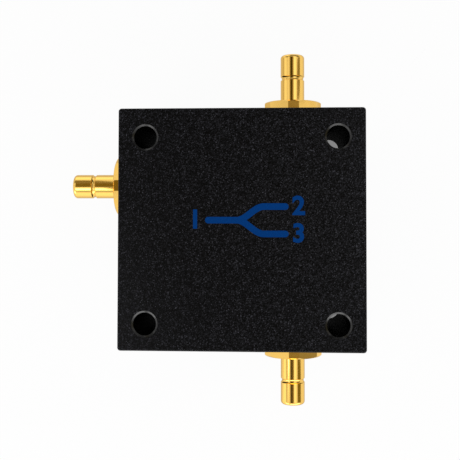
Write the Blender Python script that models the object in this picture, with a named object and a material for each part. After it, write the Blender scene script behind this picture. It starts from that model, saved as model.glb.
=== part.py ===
"""Two-way RF hybrid combiner: a square metal housing with three push-on coaxial ports.

The housing is a block milled hollow from the back and closed by a screwed cover. Four bores
near its corners run right through, for the screws that hold the whole unit to a panel.
Inside, a small board carries two ring-core transformers, a resistor and a capacitor, and the
tails of the three port contacts lie on its edges.

Frame: +Z is the plain front face, +Y the first output port, -X the common port. The origin
is the centre of the mounting face, which is the outside of the back cover. Metres throughout.
"""

from collections import namedtuple
from math import asin, cos, pi, radians, sin

import bmesh
import bpy

MM = 0.001

# Housing block
BODY_X = 35.6 * MM
BODY_Y = 34.9 * MM
BODY_Z = 22.0 * MM
EDGE_RADIUS = 0.35 * MM
SIDE_WALL = 2.4 * MM
FACE_WALL = 2.4 * MM
COVER_THICKNESS = 1.6 * MM

# Through bores for M3 screws, each in a round column of the housing: a rectangle whose middle
# lies a little below the face's
BORE_X = 13.85 * MM
BORE_Y = 13.4 * MM
BORE_MIDDLE_Y = -0.18 * MM
BORE_DIAMETER = 3.3 * MM
BORE_CHAMFER_WIDTH = 0.25 * MM
BORE_CHAMFER_DEPTH = 0.17 * MM
COLUMN_WALL = 1.1 * MM

# Clearances: between seated faces, between round fits, and how far a cutter overshoots
SEAT_GAP = 0.2 * MM
FIT_GAP = 0.1 * MM
OVERSHOOT = 1.0 * MM

# M2 screws: four countersunk ones in the cover, two pan-head ones in the board
SCREW_DIAMETER = 2.0 * MM
SCREW_POINT = 0.3 * MM
COVER_HEAD_DIAMETER = 3.8 * MM
COVER_HEAD_RIM = 0.2 * MM
COVER_HEAD_SINK = 0.1 * MM
COVER_SCREW_LENGTH = 6.0 * MM
BOARD_HEAD_DIAMETER = 3.5 * MM
BOARD_HEAD_HEIGHT = 1.3 * MM
BOARD_SCREW_LENGTH = 5.5 * MM
RECESS_SPAN = 1.9 * MM
RECESS_WIDTH = 0.45 * MM
RECESS_DEPTH = 0.8 * MM
RECESS_TAPER = 0.6
BOSS_WALL = 1.2 * MM
BOSS_SINK = 0.6 * MM

# Ports: where their axes lie
PORT_Z = 11.0 * MM
OUTPUT_PORT_X = 7.55 * MM
COMMON_PORT_Y = 6.55 * MM

# Port shell: thread behind the wall, grooved barrel, and a flange with six wrench flats and
# six narrow lands between them, milled on a turned disc
THREAD_DIAMETER = 4.8 * MM
THREAD_CHAMFER = 0.25 * MM
THREAD_SPARE = 0.6 * MM
FLANGE_DIAMETER = 9.4 * MM
FLANGE_FLATS = 8.65 * MM
FLANGE_LANDS = 9.04 * MM
FLANGE_THICKNESS = 2.05 * MM
FLANGE_CHAMFER = 0.6 * MM
BARREL_DIAMETER = 3.7 * MM
OUTPUT_BARREL_LENGTH = 7.4 * MM
COMMON_BARREL_LENGTH = 6.8 * MM
TIP_RADIUS = 0.5 * MM
OUTPUT_GROOVE_FROM_TIP = 3.7 * MM
COMMON_GROOVE_FROM_TIP = 3.25 * MM
GROOVE_WIDTH = 0.66 * MM
GROOVE_DEPTH = 0.16 * MM

# Inside the shell: insulator seat, socket, centre contact
SOCKET_DIAMETER = 2.1 * MM
SOCKET_DEPTH = 3.4 * MM
SOCKET_CHAMFER = 0.12 * MM
SEAT_DIAMETER = 3.0 * MM
SEAT_DEPTH_FROM_WALL = 0.6 * MM
PIN_DIAMETER = 0.5 * MM
PIN_SETBACK = 0.8 * MM
PIN_CHAMFER = 0.1 * MM
TAIL_DIAMETER = 0.9 * MM
TAIL_SHOULDER = 1.0 * MM

# Lock washer and nut behind the wall
WASHER_DIAMETER = 6.8 * MM
WASHER_THICKNESS = 0.5 * MM
WASHER_TEETH = 10
WASHER_TOOTH_DEPTH = 0.35 * MM
NUT_DIAMETER = 7.2 * MM
NUT_FLATS = 6.35 * MM
NUT_THICKNESS = 1.8 * MM
NUT_CHAMFER = 0.3 * MM

# Board, with its two screws and how far the contact tails reach over it
BOARD_THICKNESS = 1.6 * MM
BOARD_EDGE_GAP = 0.4 * MM
TAIL_OVERLAP = 1.6 * MM
POST_WALL = 0.9 * MM
BOARD_SCREW_SPOTS = ((-7.8 * MM, -7.8 * MM), (0.5 * MM, 7.9 * MM))

# Ring cores and their enamelled wire
WIRE_DIAMETER = 0.4 * MM
WIRE_STANDOFF = 0.2 * MM
CORE_CHAMFER = 0.25 * MM
LEAD_RUN = 0.7 * MM
COIL_SQUARENESS = 6.0
MATCHING_OUTER = 7.0 * MM
MATCHING_INNER = 3.2 * MM
MATCHING_HEIGHT = 3.0 * MM
MATCHING_TURNS = 8
HYBRID_OUTER = 8.0 * MM
HYBRID_INNER = 3.8 * MM
HYBRID_HEIGHT = 3.2 * MM
HYBRID_TURNS = 6
COIL_SPAN = radians(300)
COMPONENT_GAP = 0.4 * MM

# Resistor and capacitor, both with axial leads bent back to the board
RESISTOR_DIAMETER = 1.8 * MM
RESISTOR_LENGTH = 4.2 * MM
RESISTOR_CAP = 0.15 * MM
CAPACITOR_DIAMETER = 1.7 * MM
CAPACITOR_LENGTH = 3.4 * MM
CAPACITOR_SPOT = (0.6 * MM, -7.6 * MM)
LEAD_DIAMETER = 0.5 * MM
LEAD_REACH = 1.3 * MM

# Facets round each kind of piece
BARREL_FACETS = 28
BORE_FACETS = 24
PILLAR_FACETS = 16
NUT_FACETS = 18
EDGE_STEPS = 3
SCREW_FACETS = 16
INNER_FACETS = 14
CORE_FACETS = 24
ARC_STEPS = 3
TURN_STEPS = 10
SHARP_ANGLE = radians(32)

# Sizes that follow from the ones above
SEAM_Z = COVER_THICKNESS + SEAT_GAP
INNER_X = BODY_X / 2 - SIDE_WALL
INNER_Y = BODY_Y / 2 - SIDE_WALL
INNER_TOP = BODY_Z - FACE_WALL
SCREW_HOLE_RADIUS = SCREW_DIAMETER / 2 + FIT_GAP
BOSS_RADIUS = SCREW_HOLE_RADIUS + BOSS_WALL
BOSS_CENTRE = BOSS_RADIUS - BOSS_SINK
SHANK_REACH = SEAT_GAP * 2 + WASHER_THICKNESS + NUT_THICKNESS + THREAD_SPARE
BOSS_REACH = BOSS_CENTRE + BOSS_RADIUS
BOARD_INSET = max(SHANK_REACH, BOSS_REACH) + BOARD_EDGE_GAP
BOARD_HALF_X = INNER_X - BOARD_INSET
BOARD_HALF_Y = INNER_Y - BOARD_INSET
BOARD_UNDER = PORT_Z + TAIL_DIAMETER / 2 + SEAT_GAP
BOARD_TOP = BOARD_UNDER + BOARD_THICKNESS
PAD_LEVEL = BOARD_UNDER - SEAT_GAP

Port = namedtuple("Port", "name x y heading barrel groove turn")
Core = namedtuple("Core", "name outer inner height x y")

PORTS = (
    Port("common_port", -BODY_X / 2, COMMON_PORT_Y, radians(-90),
         COMMON_BARREL_LENGTH, COMMON_GROOVE_FROM_TIP, radians(0)),
    Port("output_port_1", OUTPUT_PORT_X, BODY_Y / 2, radians(180),
         OUTPUT_BARREL_LENGTH, OUTPUT_GROOVE_FROM_TIP, radians(1)),
    Port("output_port_2", OUTPUT_PORT_X, -BODY_Y / 2, radians(0),
         OUTPUT_BARREL_LENGTH, OUTPUT_GROOVE_FROM_TIP, radians(-2)),
)


def clear_scene():
    for obj in list(bpy.data.objects):
        bpy.data.objects.remove(obj, do_unlink=True)


def finish(name, colour, roughness, metallic):
    """A Principled material with one colour, given as linear red, green and blue."""
    material = bpy.data.materials.new(name)
    material.use_nodes = True
    shader = material.node_tree.nodes["Principled BSDF"]
    shader.inputs["Base Color"].default_value = (*colour, 1.0)
    shader.inputs["Roughness"].default_value = roughness
    shader.inputs["Metallic"].default_value = metallic
    return material


def place(name, data, material=None, location=(0, 0, 0), parent=None, turn=0.0):
    """Link a new object that carries the data, with an optional turn about its own Z."""
    obj = bpy.data.objects.new(name, data)
    bpy.context.collection.objects.link(obj)
    obj.parent = parent
    obj.location = location
    obj.rotation_euler = (0, 0, turn)
    if material:
        data.materials.append(material)
    return obj


def to_mesh(name, bm, flat_axes="z"):
    """Turn a bmesh into a mesh with its faces out: flat where they are square to one of the
    given axes, and elsewhere smooth between real edges."""
    bmesh.ops.recalc_face_normals(bm, faces=bm.faces)
    for face in bm.faces:
        square = [abs(getattr(face.normal, axis)) > 0.9999 for axis in flat_axes]
        face.smooth = not any(square)
    mesh = bpy.data.meshes.new(name)
    bm.to_mesh(mesh)
    bm.free()
    mesh.set_sharp_from_angle(angle=SHARP_ANGLE)
    return mesh


def add_turned(bm, outline, facets, location=(0, 0, 0)):
    """Spin a (radius, height) outline about Z: open from axis to axis, or closed as a ring."""
    made = [bm.verts.new((r, 0, z)) for r, z in outline]
    pairs = list(zip(made, made[1:]))
    if outline[0][0] > 0:
        pairs.append((made[-1], made[0]))
    edges = [bm.edges.new(pair) for pair in pairs]
    before = set(bm.verts) - set(made)
    bmesh.ops.spin(bm, geom=made + edges, axis=(0, 0, 1), angle=2 * pi, steps=facets,
                   use_merge=True)
    fresh = [v for v in bm.verts if v not in before]
    bmesh.ops.remove_doubles(bm, verts=fresh, dist=1e-7)
    fresh = [v for v in bm.verts if v not in before]
    bmesh.ops.translate(bm, verts=fresh, vec=location)


def turned_mesh(name, outline, facets):
    bm = bmesh.new()
    add_turned(bm, outline, facets)
    return to_mesh(name, bm)


def rod(radius, low, high):
    """Outline of a plain cylinder, for add_turned."""
    return [(0, low), (radius, low), (radius, high), (0, high)]


def arc(centre_r, centre_z, radius, start, end):
    """Points of a round stretch of an outline."""
    angles = [start + (end - start) * i / ARC_STEPS for i in range(ARC_STEPS + 1)]
    return [(centre_r + radius * cos(a), centre_z + radius * sin(a)) for a in angles]


def cutter(name, mesh, location=(0, 0, 0), parent=None, turn=0.0):
    """A helper solid that only shapes other pieces."""
    obj = place(name, mesh, location=location, parent=parent, turn=turn)
    obj.hide_render = True
    obj.display_type = "WIRE"
    return obj


def combine(obj, helper, operation="DIFFERENCE"):
    modifier = obj.modifiers.new(helper.name, "BOOLEAN")
    modifier.operation = operation
    modifier.solver = "EXACT"
    modifier.object = helper


def rounded_block(name, low, high, sharp_z):
    """A block of the housing's footprint, rounded on its edges except round the level sharp_z."""
    bm = bmesh.new()
    bmesh.ops.create_cube(bm, size=1.0)
    bmesh.ops.scale(bm, verts=bm.verts, vec=(BODY_X, BODY_Y, high - low))
    bmesh.ops.translate(bm, verts=bm.verts, vec=(0, 0, (low + high) / 2))
    edges = [e for e in bm.edges
             if not all(abs(v.co.z - sharp_z) < EDGE_RADIUS for v in e.verts)]
    bmesh.ops.bevel(bm, geom=edges, offset=EDGE_RADIUS, offset_type="OFFSET",
                    segments=EDGE_STEPS, profile=0.5, affect="EDGES")
    return to_mesh(name, bm, "xyz")


def bore_spots():
    return [(x, BORE_MIDDLE_Y + y) for x in (-BORE_X, BORE_X) for y in (-BORE_Y, BORE_Y)]


def bore_cutter():
    """Four screw bores through cover and housing, chamfered at both outer faces."""
    radius = BORE_DIAMETER / 2
    wide = radius + BORE_CHAMFER_WIDTH
    outline = [
        (0, -OVERSHOOT),
        (wide + OVERSHOOT, -OVERSHOOT),
        (wide, 0),
        (radius, BORE_CHAMFER_DEPTH),
        (radius, BODY_Z - BORE_CHAMFER_DEPTH),
        (wide, BODY_Z),
        (wide + OVERSHOOT, BODY_Z + OVERSHOOT),
        (0, BODY_Z + OVERSHOOT),
    ]
    bm = bmesh.new()
    for x, y in bore_spots():
        add_turned(bm, outline, BORE_FACETS, location=(x, y, 0))
    return cutter("bore_cutter", to_mesh("bore_cutter", bm))


def cover_screw_spots():
    """The middles of the four side walls, where the housing has bosses."""
    x = INNER_X - BOSS_CENTRE
    y = INNER_Y - BOSS_CENTRE
    return ((x, 0), (0, y), (-x, 0), (0, -y))


def countersink_cutter():
    """The cover screws' holes: countersunk in the cover and blind in the housing's bosses."""
    head = COVER_HEAD_DIAMETER / 2 + FIT_GAP
    rim_top = COVER_HEAD_SINK + COVER_HEAD_RIM
    depth = COVER_HEAD_SINK + COVER_SCREW_LENGTH + SEAT_GAP
    outline = [
        (0, -OVERSHOOT),
        (head, -OVERSHOOT),
        (head, rim_top),
        (SCREW_HOLE_RADIUS, rim_top + head - SCREW_HOLE_RADIUS),
        (SCREW_HOLE_RADIUS, depth),
        (0, depth),
    ]
    bm = bmesh.new()
    for x, y in cover_screw_spots():
        add_turned(bm, outline, SCREW_FACETS, location=(x, y, 0))
    return cutter("countersink_cutter", to_mesh("countersink_cutter", bm))


def board_hole_cutter():
    """The board screws' holes through the board and into the housing's two posts."""
    top = PAD_LEVEL + BOARD_SCREW_LENGTH + SEAT_GAP
    bm = bmesh.new()
    for x, y in BOARD_SCREW_SPOTS:
        outline = rod(SCREW_HOLE_RADIUS, BOARD_UNDER - OVERSHOOT, top)
        add_turned(bm, outline, SCREW_FACETS, location=(x, y, 0))
    return cutter("board_hole_cutter", to_mesh("board_hole_cutter", bm))


def cavity_cutter():
    """The milled hollow, less the columns, bosses and posts that the mill leaves standing."""
    bm = bmesh.new()
    bmesh.ops.create_cube(bm, size=1.0)
    low = SEAM_Z - OVERSHOOT
    bmesh.ops.scale(bm, verts=bm.verts, vec=(2 * INNER_X, 2 * INNER_Y, INNER_TOP - low))
    bmesh.ops.translate(bm, verts=bm.verts, vec=(0, 0, (low + INNER_TOP) / 2))
    hollow = cutter("cavity_cutter", to_mesh("cavity_cutter", bm, "xyz"))

    bm = bmesh.new()
    column = BORE_DIAMETER / 2 + COLUMN_WALL
    foot = low - OVERSHOOT
    head = INNER_TOP + OVERSHOOT
    for x, y in bore_spots():
        add_turned(bm, rod(column, foot, head), PILLAR_FACETS, location=(x, y, 0))
    for x, y in cover_screw_spots():
        add_turned(bm, rod(BOSS_RADIUS, foot, head), PILLAR_FACETS, location=(x, y, 0))
    post = SCREW_HOLE_RADIUS + POST_WALL
    for x, y in BOARD_SCREW_SPOTS:
        add_turned(bm, rod(post, BOARD_TOP + SEAT_GAP, head), PILLAR_FACETS, location=(x, y, 0))
    pillars = cutter("pillar_guide", to_mesh("pillar_guide", bm))
    combine(hollow, pillars)
    return hollow


def port_hole_cutter(frames):
    """One round hole through the side wall for each port's thread."""
    radius = THREAD_DIAMETER / 2 + FIT_GAP
    outline = rod(radius, -SIDE_WALL - OVERSHOOT, OVERSHOOT)
    holes = []
    for port, frame in frames:
        mesh = turned_mesh(port.name + "_hole", outline, BARREL_FACETS)
        holes.append(cutter(port.name + "_hole", mesh, parent=frame))
    return holes


def cross_recess(name, parent, location, pointing):
    """A tapered cross that sinks into a screw head; pointing is +1 up or -1 down."""
    long = RECESS_SPAN / 2
    half = RECESS_WIDTH / 2
    corner = [(half, half), (half, long), (-half, long)]
    outline = []
    for quarter in range(4):
        c, s = cos(quarter * pi / 2), sin(quarter * pi / 2)
        outline += [(c * x - s * y, s * x + c * y) for x, y in corner]
    bm = bmesh.new()
    levels = ((-OVERSHOOT * pointing, 1.0), (0, 1.0), (RECESS_DEPTH * pointing, RECESS_TAPER))
    rings = [[bm.verts.new((x * k, y * k, z)) for x, y in outline] for z, k in levels]
    count = len(outline)
    for lower, upper in zip(rings, rings[1:]):
        for i in range(count):
            j = (i + 1) % count
            bm.faces.new((lower[i], lower[j], upper[j], upper[i]))
    bm.faces.new(rings[0])
    bm.faces.new(rings[-1])
    mesh = to_mesh(name, bm)
    mesh.shade_flat()
    return cutter(name, mesh, location=location, parent=parent)


def cover_screws(steel):
    """Countersunk screws, head down in the cover, point up in the housing's bosses."""
    head = COVER_HEAD_DIAMETER / 2
    shank = SCREW_DIAMETER / 2
    rim_top = COVER_HEAD_SINK + COVER_HEAD_RIM
    end = COVER_HEAD_SINK + COVER_SCREW_LENGTH
    outline = [
        (0, COVER_HEAD_SINK),
        (head, COVER_HEAD_SINK),
        (head, rim_top),
        (shank, rim_top + head - shank),
        (shank, end - SCREW_POINT),
        (shank - SCREW_POINT, end),
        (0, end),
    ]
    mesh = turned_mesh("cover_screw", outline, SCREW_FACETS)
    for number, (x, y) in enumerate(cover_screw_spots(), start=1):
        screw = place(f"cover_screw_{number}", mesh, location=(x, y, 0))
        recess = cross_recess(f"cover_recess_{number}", screw, (0, 0, COVER_HEAD_SINK), 1)
        combine(screw, recess)
    mesh.materials.append(steel)


def board_screws(steel):
    """Pan-head screws, heads under the board, points up in the housing's posts."""
    head = BOARD_HEAD_DIAMETER / 2
    shank = SCREW_DIAMETER / 2
    low = -BOARD_HEAD_HEIGHT
    outline = [(0, low)]
    outline += arc(head - BOARD_HEAD_HEIGHT / 2, low / 2, BOARD_HEAD_HEIGHT / 2, -pi / 2, 0)
    outline += [
        (head, 0),
        (shank, 0),
        (shank, BOARD_SCREW_LENGTH - SCREW_POINT),
        (shank - SCREW_POINT, BOARD_SCREW_LENGTH),
        (0, BOARD_SCREW_LENGTH),
    ]
    mesh = turned_mesh("board_screw", outline, SCREW_FACETS)
    for number, (x, y) in enumerate(BOARD_SCREW_SPOTS, start=1):
        screw = place(f"board_screw_{number}", mesh, location=(x, y, PAD_LEVEL))
        recess = cross_recess(f"board_recess_{number}", screw, (0, 0, low), 1)
        combine(screw, recess)
    mesh.materials.append(steel)


def hexagon_cutter(name, flats, low, high, parent, turn):
    """A hexagonal prism with a corner up, which a turned piece is trimmed to."""
    corner = flats / 2 / cos(pi / 6)
    mesh = turned_mesh(name, rod(corner, low, high), 6)
    mesh.shade_flat()
    return cutter(name, mesh, parent=parent, turn=pi / 2 + turn)


def port_frame(port):
    """An empty on the wall's outer face: its Z points out along the port, its Y up."""
    frame = bpy.data.objects.new(port.name, None)
    bpy.context.collection.objects.link(frame)
    frame.empty_display_size = BARREL_DIAMETER
    frame.location = (port.x, port.y, PORT_Z)
    frame.rotation_euler = (pi / 2, 0, port.heading)
    return frame


def groove_section(barrel, middle):
    """The round-bottomed groove that a plug's spring sleeve drops into."""
    half = GROOVE_WIDTH / 2
    radius = (half ** 2 + GROOVE_DEPTH ** 2) / (2 * GROOVE_DEPTH)
    spread = asin(half / radius)
    return arc(barrel - GROOVE_DEPTH + radius, middle, radius, pi + spread, pi - spread)


def shell_outline(port):
    """Section of the port's shell, from its rear end round to the socket and back."""
    barrel = BARREL_DIAMETER / 2
    thread = THREAD_DIAMETER / 2
    flange = FLANGE_DIAMETER / 2
    rear = -SIDE_WALL - SHANK_REACH
    front = SEAT_GAP + FLANGE_THICKNESS
    tip = front + port.barrel
    socket = SOCKET_DIAMETER / 2
    seat = SEAT_DIAMETER / 2
    outline = [
        (seat, rear),
        (thread - THREAD_CHAMFER, rear),
        (thread, rear + THREAD_CHAMFER),
        (thread, SEAT_GAP),
        (flange, SEAT_GAP),
        (flange, front - FLANGE_CHAMFER),
        (flange - FLANGE_CHAMFER, front),
        (barrel, front),
    ]
    outline += groove_section(barrel, tip - port.groove)
    outline += arc(barrel - TIP_RADIUS, tip - TIP_RADIUS, TIP_RADIUS, 0, pi / 2)
    outline += [
        (socket + SOCKET_CHAMFER, tip),
        (socket, tip - SOCKET_CHAMFER),
        (socket, -SEAT_DEPTH_FROM_WALL),
        (seat, -SEAT_DEPTH_FROM_WALL),
    ]
    return outline


def insulator_outline(port):
    """Section of the white insulator: wide in the thread, narrow up to the socket's floor."""
    rear = -SIDE_WALL - SHANK_REACH
    tip = SEAT_GAP + FLANGE_THICKNESS + port.barrel
    step = -SEAT_DEPTH_FROM_WALL - FIT_GAP
    tail_hole = TAIL_DIAMETER / 2 + FIT_GAP
    pin_hole = PIN_DIAMETER / 2 + FIT_GAP
    return [
        (tail_hole, rear),
        (SEAT_DIAMETER / 2 - FIT_GAP, rear),
        (SEAT_DIAMETER / 2 - FIT_GAP, step),
        (SOCKET_DIAMETER / 2 - FIT_GAP, step),
        (SOCKET_DIAMETER / 2 - FIT_GAP, tip - SOCKET_DEPTH),
        (pin_hole, tip - SOCKET_DEPTH),
        (pin_hole, TAIL_SHOULDER + FIT_GAP),
        (tail_hole, TAIL_SHOULDER + FIT_GAP),
    ]


def contact_outline(port):
    """Section of the centre contact: thick tail over the board, thin pin in the socket."""
    end = -SIDE_WALL - BOARD_INSET - TAIL_OVERLAP
    tip = SEAT_GAP + FLANGE_THICKNESS + port.barrel - PIN_SETBACK
    return [
        (0, end),
        (TAIL_DIAMETER / 2, end),
        (TAIL_DIAMETER / 2, TAIL_SHOULDER),
        (PIN_DIAMETER / 2, TAIL_SHOULDER),
        (PIN_DIAMETER / 2, tip - PIN_CHAMFER),
        (PIN_DIAMETER / 2 - PIN_CHAMFER, tip),
        (0, tip),
    ]


def lock_washer(name):
    """A flat ring whose inner edge is cut into small teeth."""
    hole = THREAD_DIAMETER / 2 + FIT_GAP
    count = WASHER_TEETH * 2
    bm = bmesh.new()
    rings = []
    for z in (0, -WASHER_THICKNESS):
        for edge in ("inner", "outer"):
            ring = []
            for i in range(count):
                tooth = WASHER_TOOTH_DEPTH * (i % 2)
                radius = WASHER_DIAMETER / 2 if edge == "outer" else hole + tooth
                angle = 2 * pi * i / count
                ring.append(bm.verts.new((radius * cos(angle), radius * sin(angle), z)))
            rings.append(ring)
    inner_top, outer_top, inner_low, outer_low = rings
    for a, b in ((inner_top, outer_top), (outer_top, outer_low),
                 (outer_low, inner_low), (inner_low, inner_top)):
        for i in range(count):
            j = (i + 1) % count
            bm.faces.new((a[i], b[i], b[j], a[j]))
    return to_mesh(name, bm)


def nut_outline():
    """Section of the hexagon nut before it is trimmed: a chamfered ring."""
    hole = THREAD_DIAMETER / 2 + FIT_GAP
    outer = NUT_DIAMETER / 2
    return [
        (hole, -NUT_THICKNESS),
        (outer - NUT_CHAMFER, -NUT_THICKNESS),
        (outer, -NUT_THICKNESS + NUT_CHAMFER),
        (outer, -NUT_CHAMFER),
        (outer - NUT_CHAMFER, 0),
        (hole, 0),
    ]


def build_port(port, frame, gold, nylon, brass, steel):
    """The five pieces of one port, all on the axis of its frame."""
    mesh = turned_mesh(port.name + "_shell", shell_outline(port), BARREL_FACETS)
    shell = place(port.name + "_shell", mesh, gold, parent=frame)
    reach = FLANGE_DIAMETER * 2
    for part, width, turn in (("_flats", FLANGE_FLATS, 0), ("_lands", FLANGE_LANDS, pi / 6)):
        trim = hexagon_cutter(port.name + part, width, -reach, reach, frame, port.turn + turn)
        combine(shell, trim, "INTERSECT")

    mesh = turned_mesh(port.name + "_insulator", insulator_outline(port), INNER_FACETS)
    place(port.name + "_insulator", mesh, nylon, parent=frame)
    mesh = turned_mesh(port.name + "_contact", contact_outline(port), INNER_FACETS)
    place(port.name + "_contact", mesh, brass, parent=frame)

    washer_face = -SIDE_WALL - SEAT_GAP
    mesh = lock_washer(port.name + "_washer")
    place(port.name + "_washer", mesh, steel, location=(0, 0, washer_face), parent=frame)

    nut_face = washer_face - WASHER_THICKNESS - SEAT_GAP
    mesh = turned_mesh(port.name + "_nut", nut_outline(), NUT_FACETS)
    nut = place(port.name + "_nut", mesh, gold, location=(0, 0, nut_face), parent=frame)
    trim = hexagon_cutter(port.name + "_nut_flats", NUT_FLATS, -reach, reach, frame, 0)
    combine(nut, trim, "INTERSECT")


def coil_half_sizes(core):
    """Half width and half height of one turn's path, at the middle of the wire."""
    off = WIRE_STANDOFF + WIRE_DIAMETER / 2
    return (core.outer - core.inner) / 4 + off, core.height / 2 + off


def coil_reach(core):
    """How far a wound core reaches sideways from its centre."""
    return core.outer / 2 + WIRE_STANDOFF + WIRE_DIAMETER


def coil_centre_z(core):
    return PAD_LEVEL - WIRE_DIAMETER / 2 - coil_half_sizes(core)[1]


def signed_power(value, power):
    return abs(value) ** power * (1 if value >= 0 else -1)


def coil_path(core, turns, start):
    """A wire that winds through a ring core, down outside it and up through its hole."""
    middle = (core.outer + core.inner) / 4
    half_wide, half_high = coil_half_sizes(core)
    pad = PAD_LEVEL - coil_centre_z(core)
    out = middle + half_wide + LEAD_RUN
    power = 2 / COIL_SQUARENESS
    points = [(out, start, pad), (out, start, half_high / 2)]
    last = turns * TURN_STEPS - 2
    for i in range(last + 1):
        around = 2 * pi * i / TURN_STEPS
        along = start + COIL_SPAN * i / (turns * TURN_STEPS)
        radius = middle + half_wide * signed_power(cos(around), power)
        points.append((radius, along, -half_high * signed_power(sin(around), power)))
    end = points[-1][1]
    points += [(out, end, half_high / 2), (out, end, pad)]
    return [(r * cos(a), r * sin(a), z) for r, a, z in points]


def wire_object(name, points, radii, material, location, sides=1):
    """A round wire along the points, its thickness given point by point."""
    curve = bpy.data.curves.new(name, "CURVE")
    curve.dimensions = "3D"
    curve.bevel_depth = 1.0
    curve.bevel_resolution = sides
    curve.use_fill_caps = True
    spline = curve.splines.new("POLY")
    spline.points.add(len(points) - 1)
    for point, place_at, radius in zip(spline.points, points, radii):
        point.co = (*place_at, 1.0)
        point.radius = radius
    return place(name, curve, material, location=location)


def build_core(core, ferrite):
    """A ring of ferrite with its edges tumbled off."""
    outer, inner, half = core.outer / 2, core.inner / 2, core.height / 2
    c = CORE_CHAMFER
    outline = [
        (inner + c, -half), (outer - c, -half), (outer, c - half), (outer, half - c),
        (outer - c, half), (inner + c, half), (inner, half - c), (inner, c - half),
    ]
    mesh = turned_mesh(core.name, outline, CORE_FACETS)
    place(core.name, mesh, ferrite, location=(core.x, core.y, coil_centre_z(core)))


def build_winding(name, core, turns, start, enamel):
    points = coil_path(core, turns, start)
    radii = [WIRE_DIAMETER / 2] * len(points)
    wire_object(name, points, radii, enamel, (core.x, core.y, coil_centre_z(core)))


def axial_part(name, body_diameter, body_length, cap, location, direction, material):
    """A round body between two leads that bend back to the board, all one solid."""
    lead = LEAD_DIAMETER / 2
    body = body_diameter / 2
    half = body_length / 2
    reach = half + LEAD_REACH
    rise = body
    soft = LEAD_DIAMETER
    right = [
        (cap * 2, body - cap), (half - cap * 4, body - cap), (half - cap * 3, body),
        (half - cap, body), (half, body - cap * 2), (half + cap, lead),
        (reach - soft, lead), (reach, lead, -soft), (reach, lead, -soft - rise),
    ]
    left = [(-entry[0], *entry[1:]) for entry in reversed(right)]
    points = []
    radii = []
    for entry in left + right:
        up = -entry[2] if len(entry) == 3 else 0
        points.append((entry[0] * direction[0], entry[0] * direction[1], up))
        radii.append(entry[1])
    depth = soft + rise
    centre = (location[0], location[1], PAD_LEVEL - depth)
    return wire_object(name, points, radii, material, centre, sides=2)


def build_housing(cutters, black):
    mesh = rounded_block("housing", SEAM_Z, BODY_Z, SEAM_Z)
    housing = place("housing", mesh, black)
    for helper in cutters:
        combine(housing, helper)


def build_cover(cutters, black):
    mesh = rounded_block("base_cover", 0, COVER_THICKNESS, COVER_THICKNESS)
    cover = place("base_cover", mesh, black)
    for helper in cutters:
        combine(cover, helper)


def build_board(holes, laminate):
    bm = bmesh.new()
    bmesh.ops.create_cube(bm, size=1.0)
    bmesh.ops.scale(bm, verts=bm.verts, vec=(2 * BOARD_HALF_X, 2 * BOARD_HALF_Y, BOARD_THICKNESS))
    middle = (BOARD_UNDER + BOARD_TOP) / 2
    bmesh.ops.translate(bm, verts=bm.verts, vec=(0, 0, middle))
    board = place("circuit_board", to_mesh("circuit_board", bm, "xyz"), laminate)
    combine(board, holes)


def build_components(ferrite, enamels, tan, ochre):
    """The row along the board: resistor at the right edge, then the two wound cores."""
    resistor_x = BOARD_HALF_X - COMPONENT_GAP - RESISTOR_DIAMETER / 2
    axial_part("isolation_resistor", RESISTOR_DIAMETER, RESISTOR_LENGTH, RESISTOR_CAP,
               (resistor_x, 0), (0, 1), tan)
    axial_part("tuning_capacitor", CAPACITOR_DIAMETER, CAPACITOR_LENGTH, RESISTOR_CAP,
               CAPACITOR_SPOT, (1, 0), ochre)

    hybrid = Core("hybrid_core", HYBRID_OUTER, HYBRID_INNER, HYBRID_HEIGHT, 0, 0)
    room = RESISTOR_DIAMETER / 2 + COMPONENT_GAP
    hybrid = hybrid._replace(x=resistor_x - room - coil_reach(hybrid))
    matching = Core("matching_core", MATCHING_OUTER, MATCHING_INNER, MATCHING_HEIGHT, 0, 0)
    room = coil_reach(hybrid) + COMPONENT_GAP + coil_reach(matching)
    matching = matching._replace(x=hybrid.x - room)

    build_core(hybrid, ferrite)
    build_core(matching, ferrite)
    first = radians(120)
    pitch = COIL_SPAN / HYBRID_TURNS
    build_winding("hybrid_winding_a", hybrid, HYBRID_TURNS, first, enamels[0])
    build_winding("hybrid_winding_b", hybrid, HYBRID_TURNS, first + pitch / 2, enamels[1])
    build_winding("matching_winding", matching, MATCHING_TURNS, radians(100), enamels[2])


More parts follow.
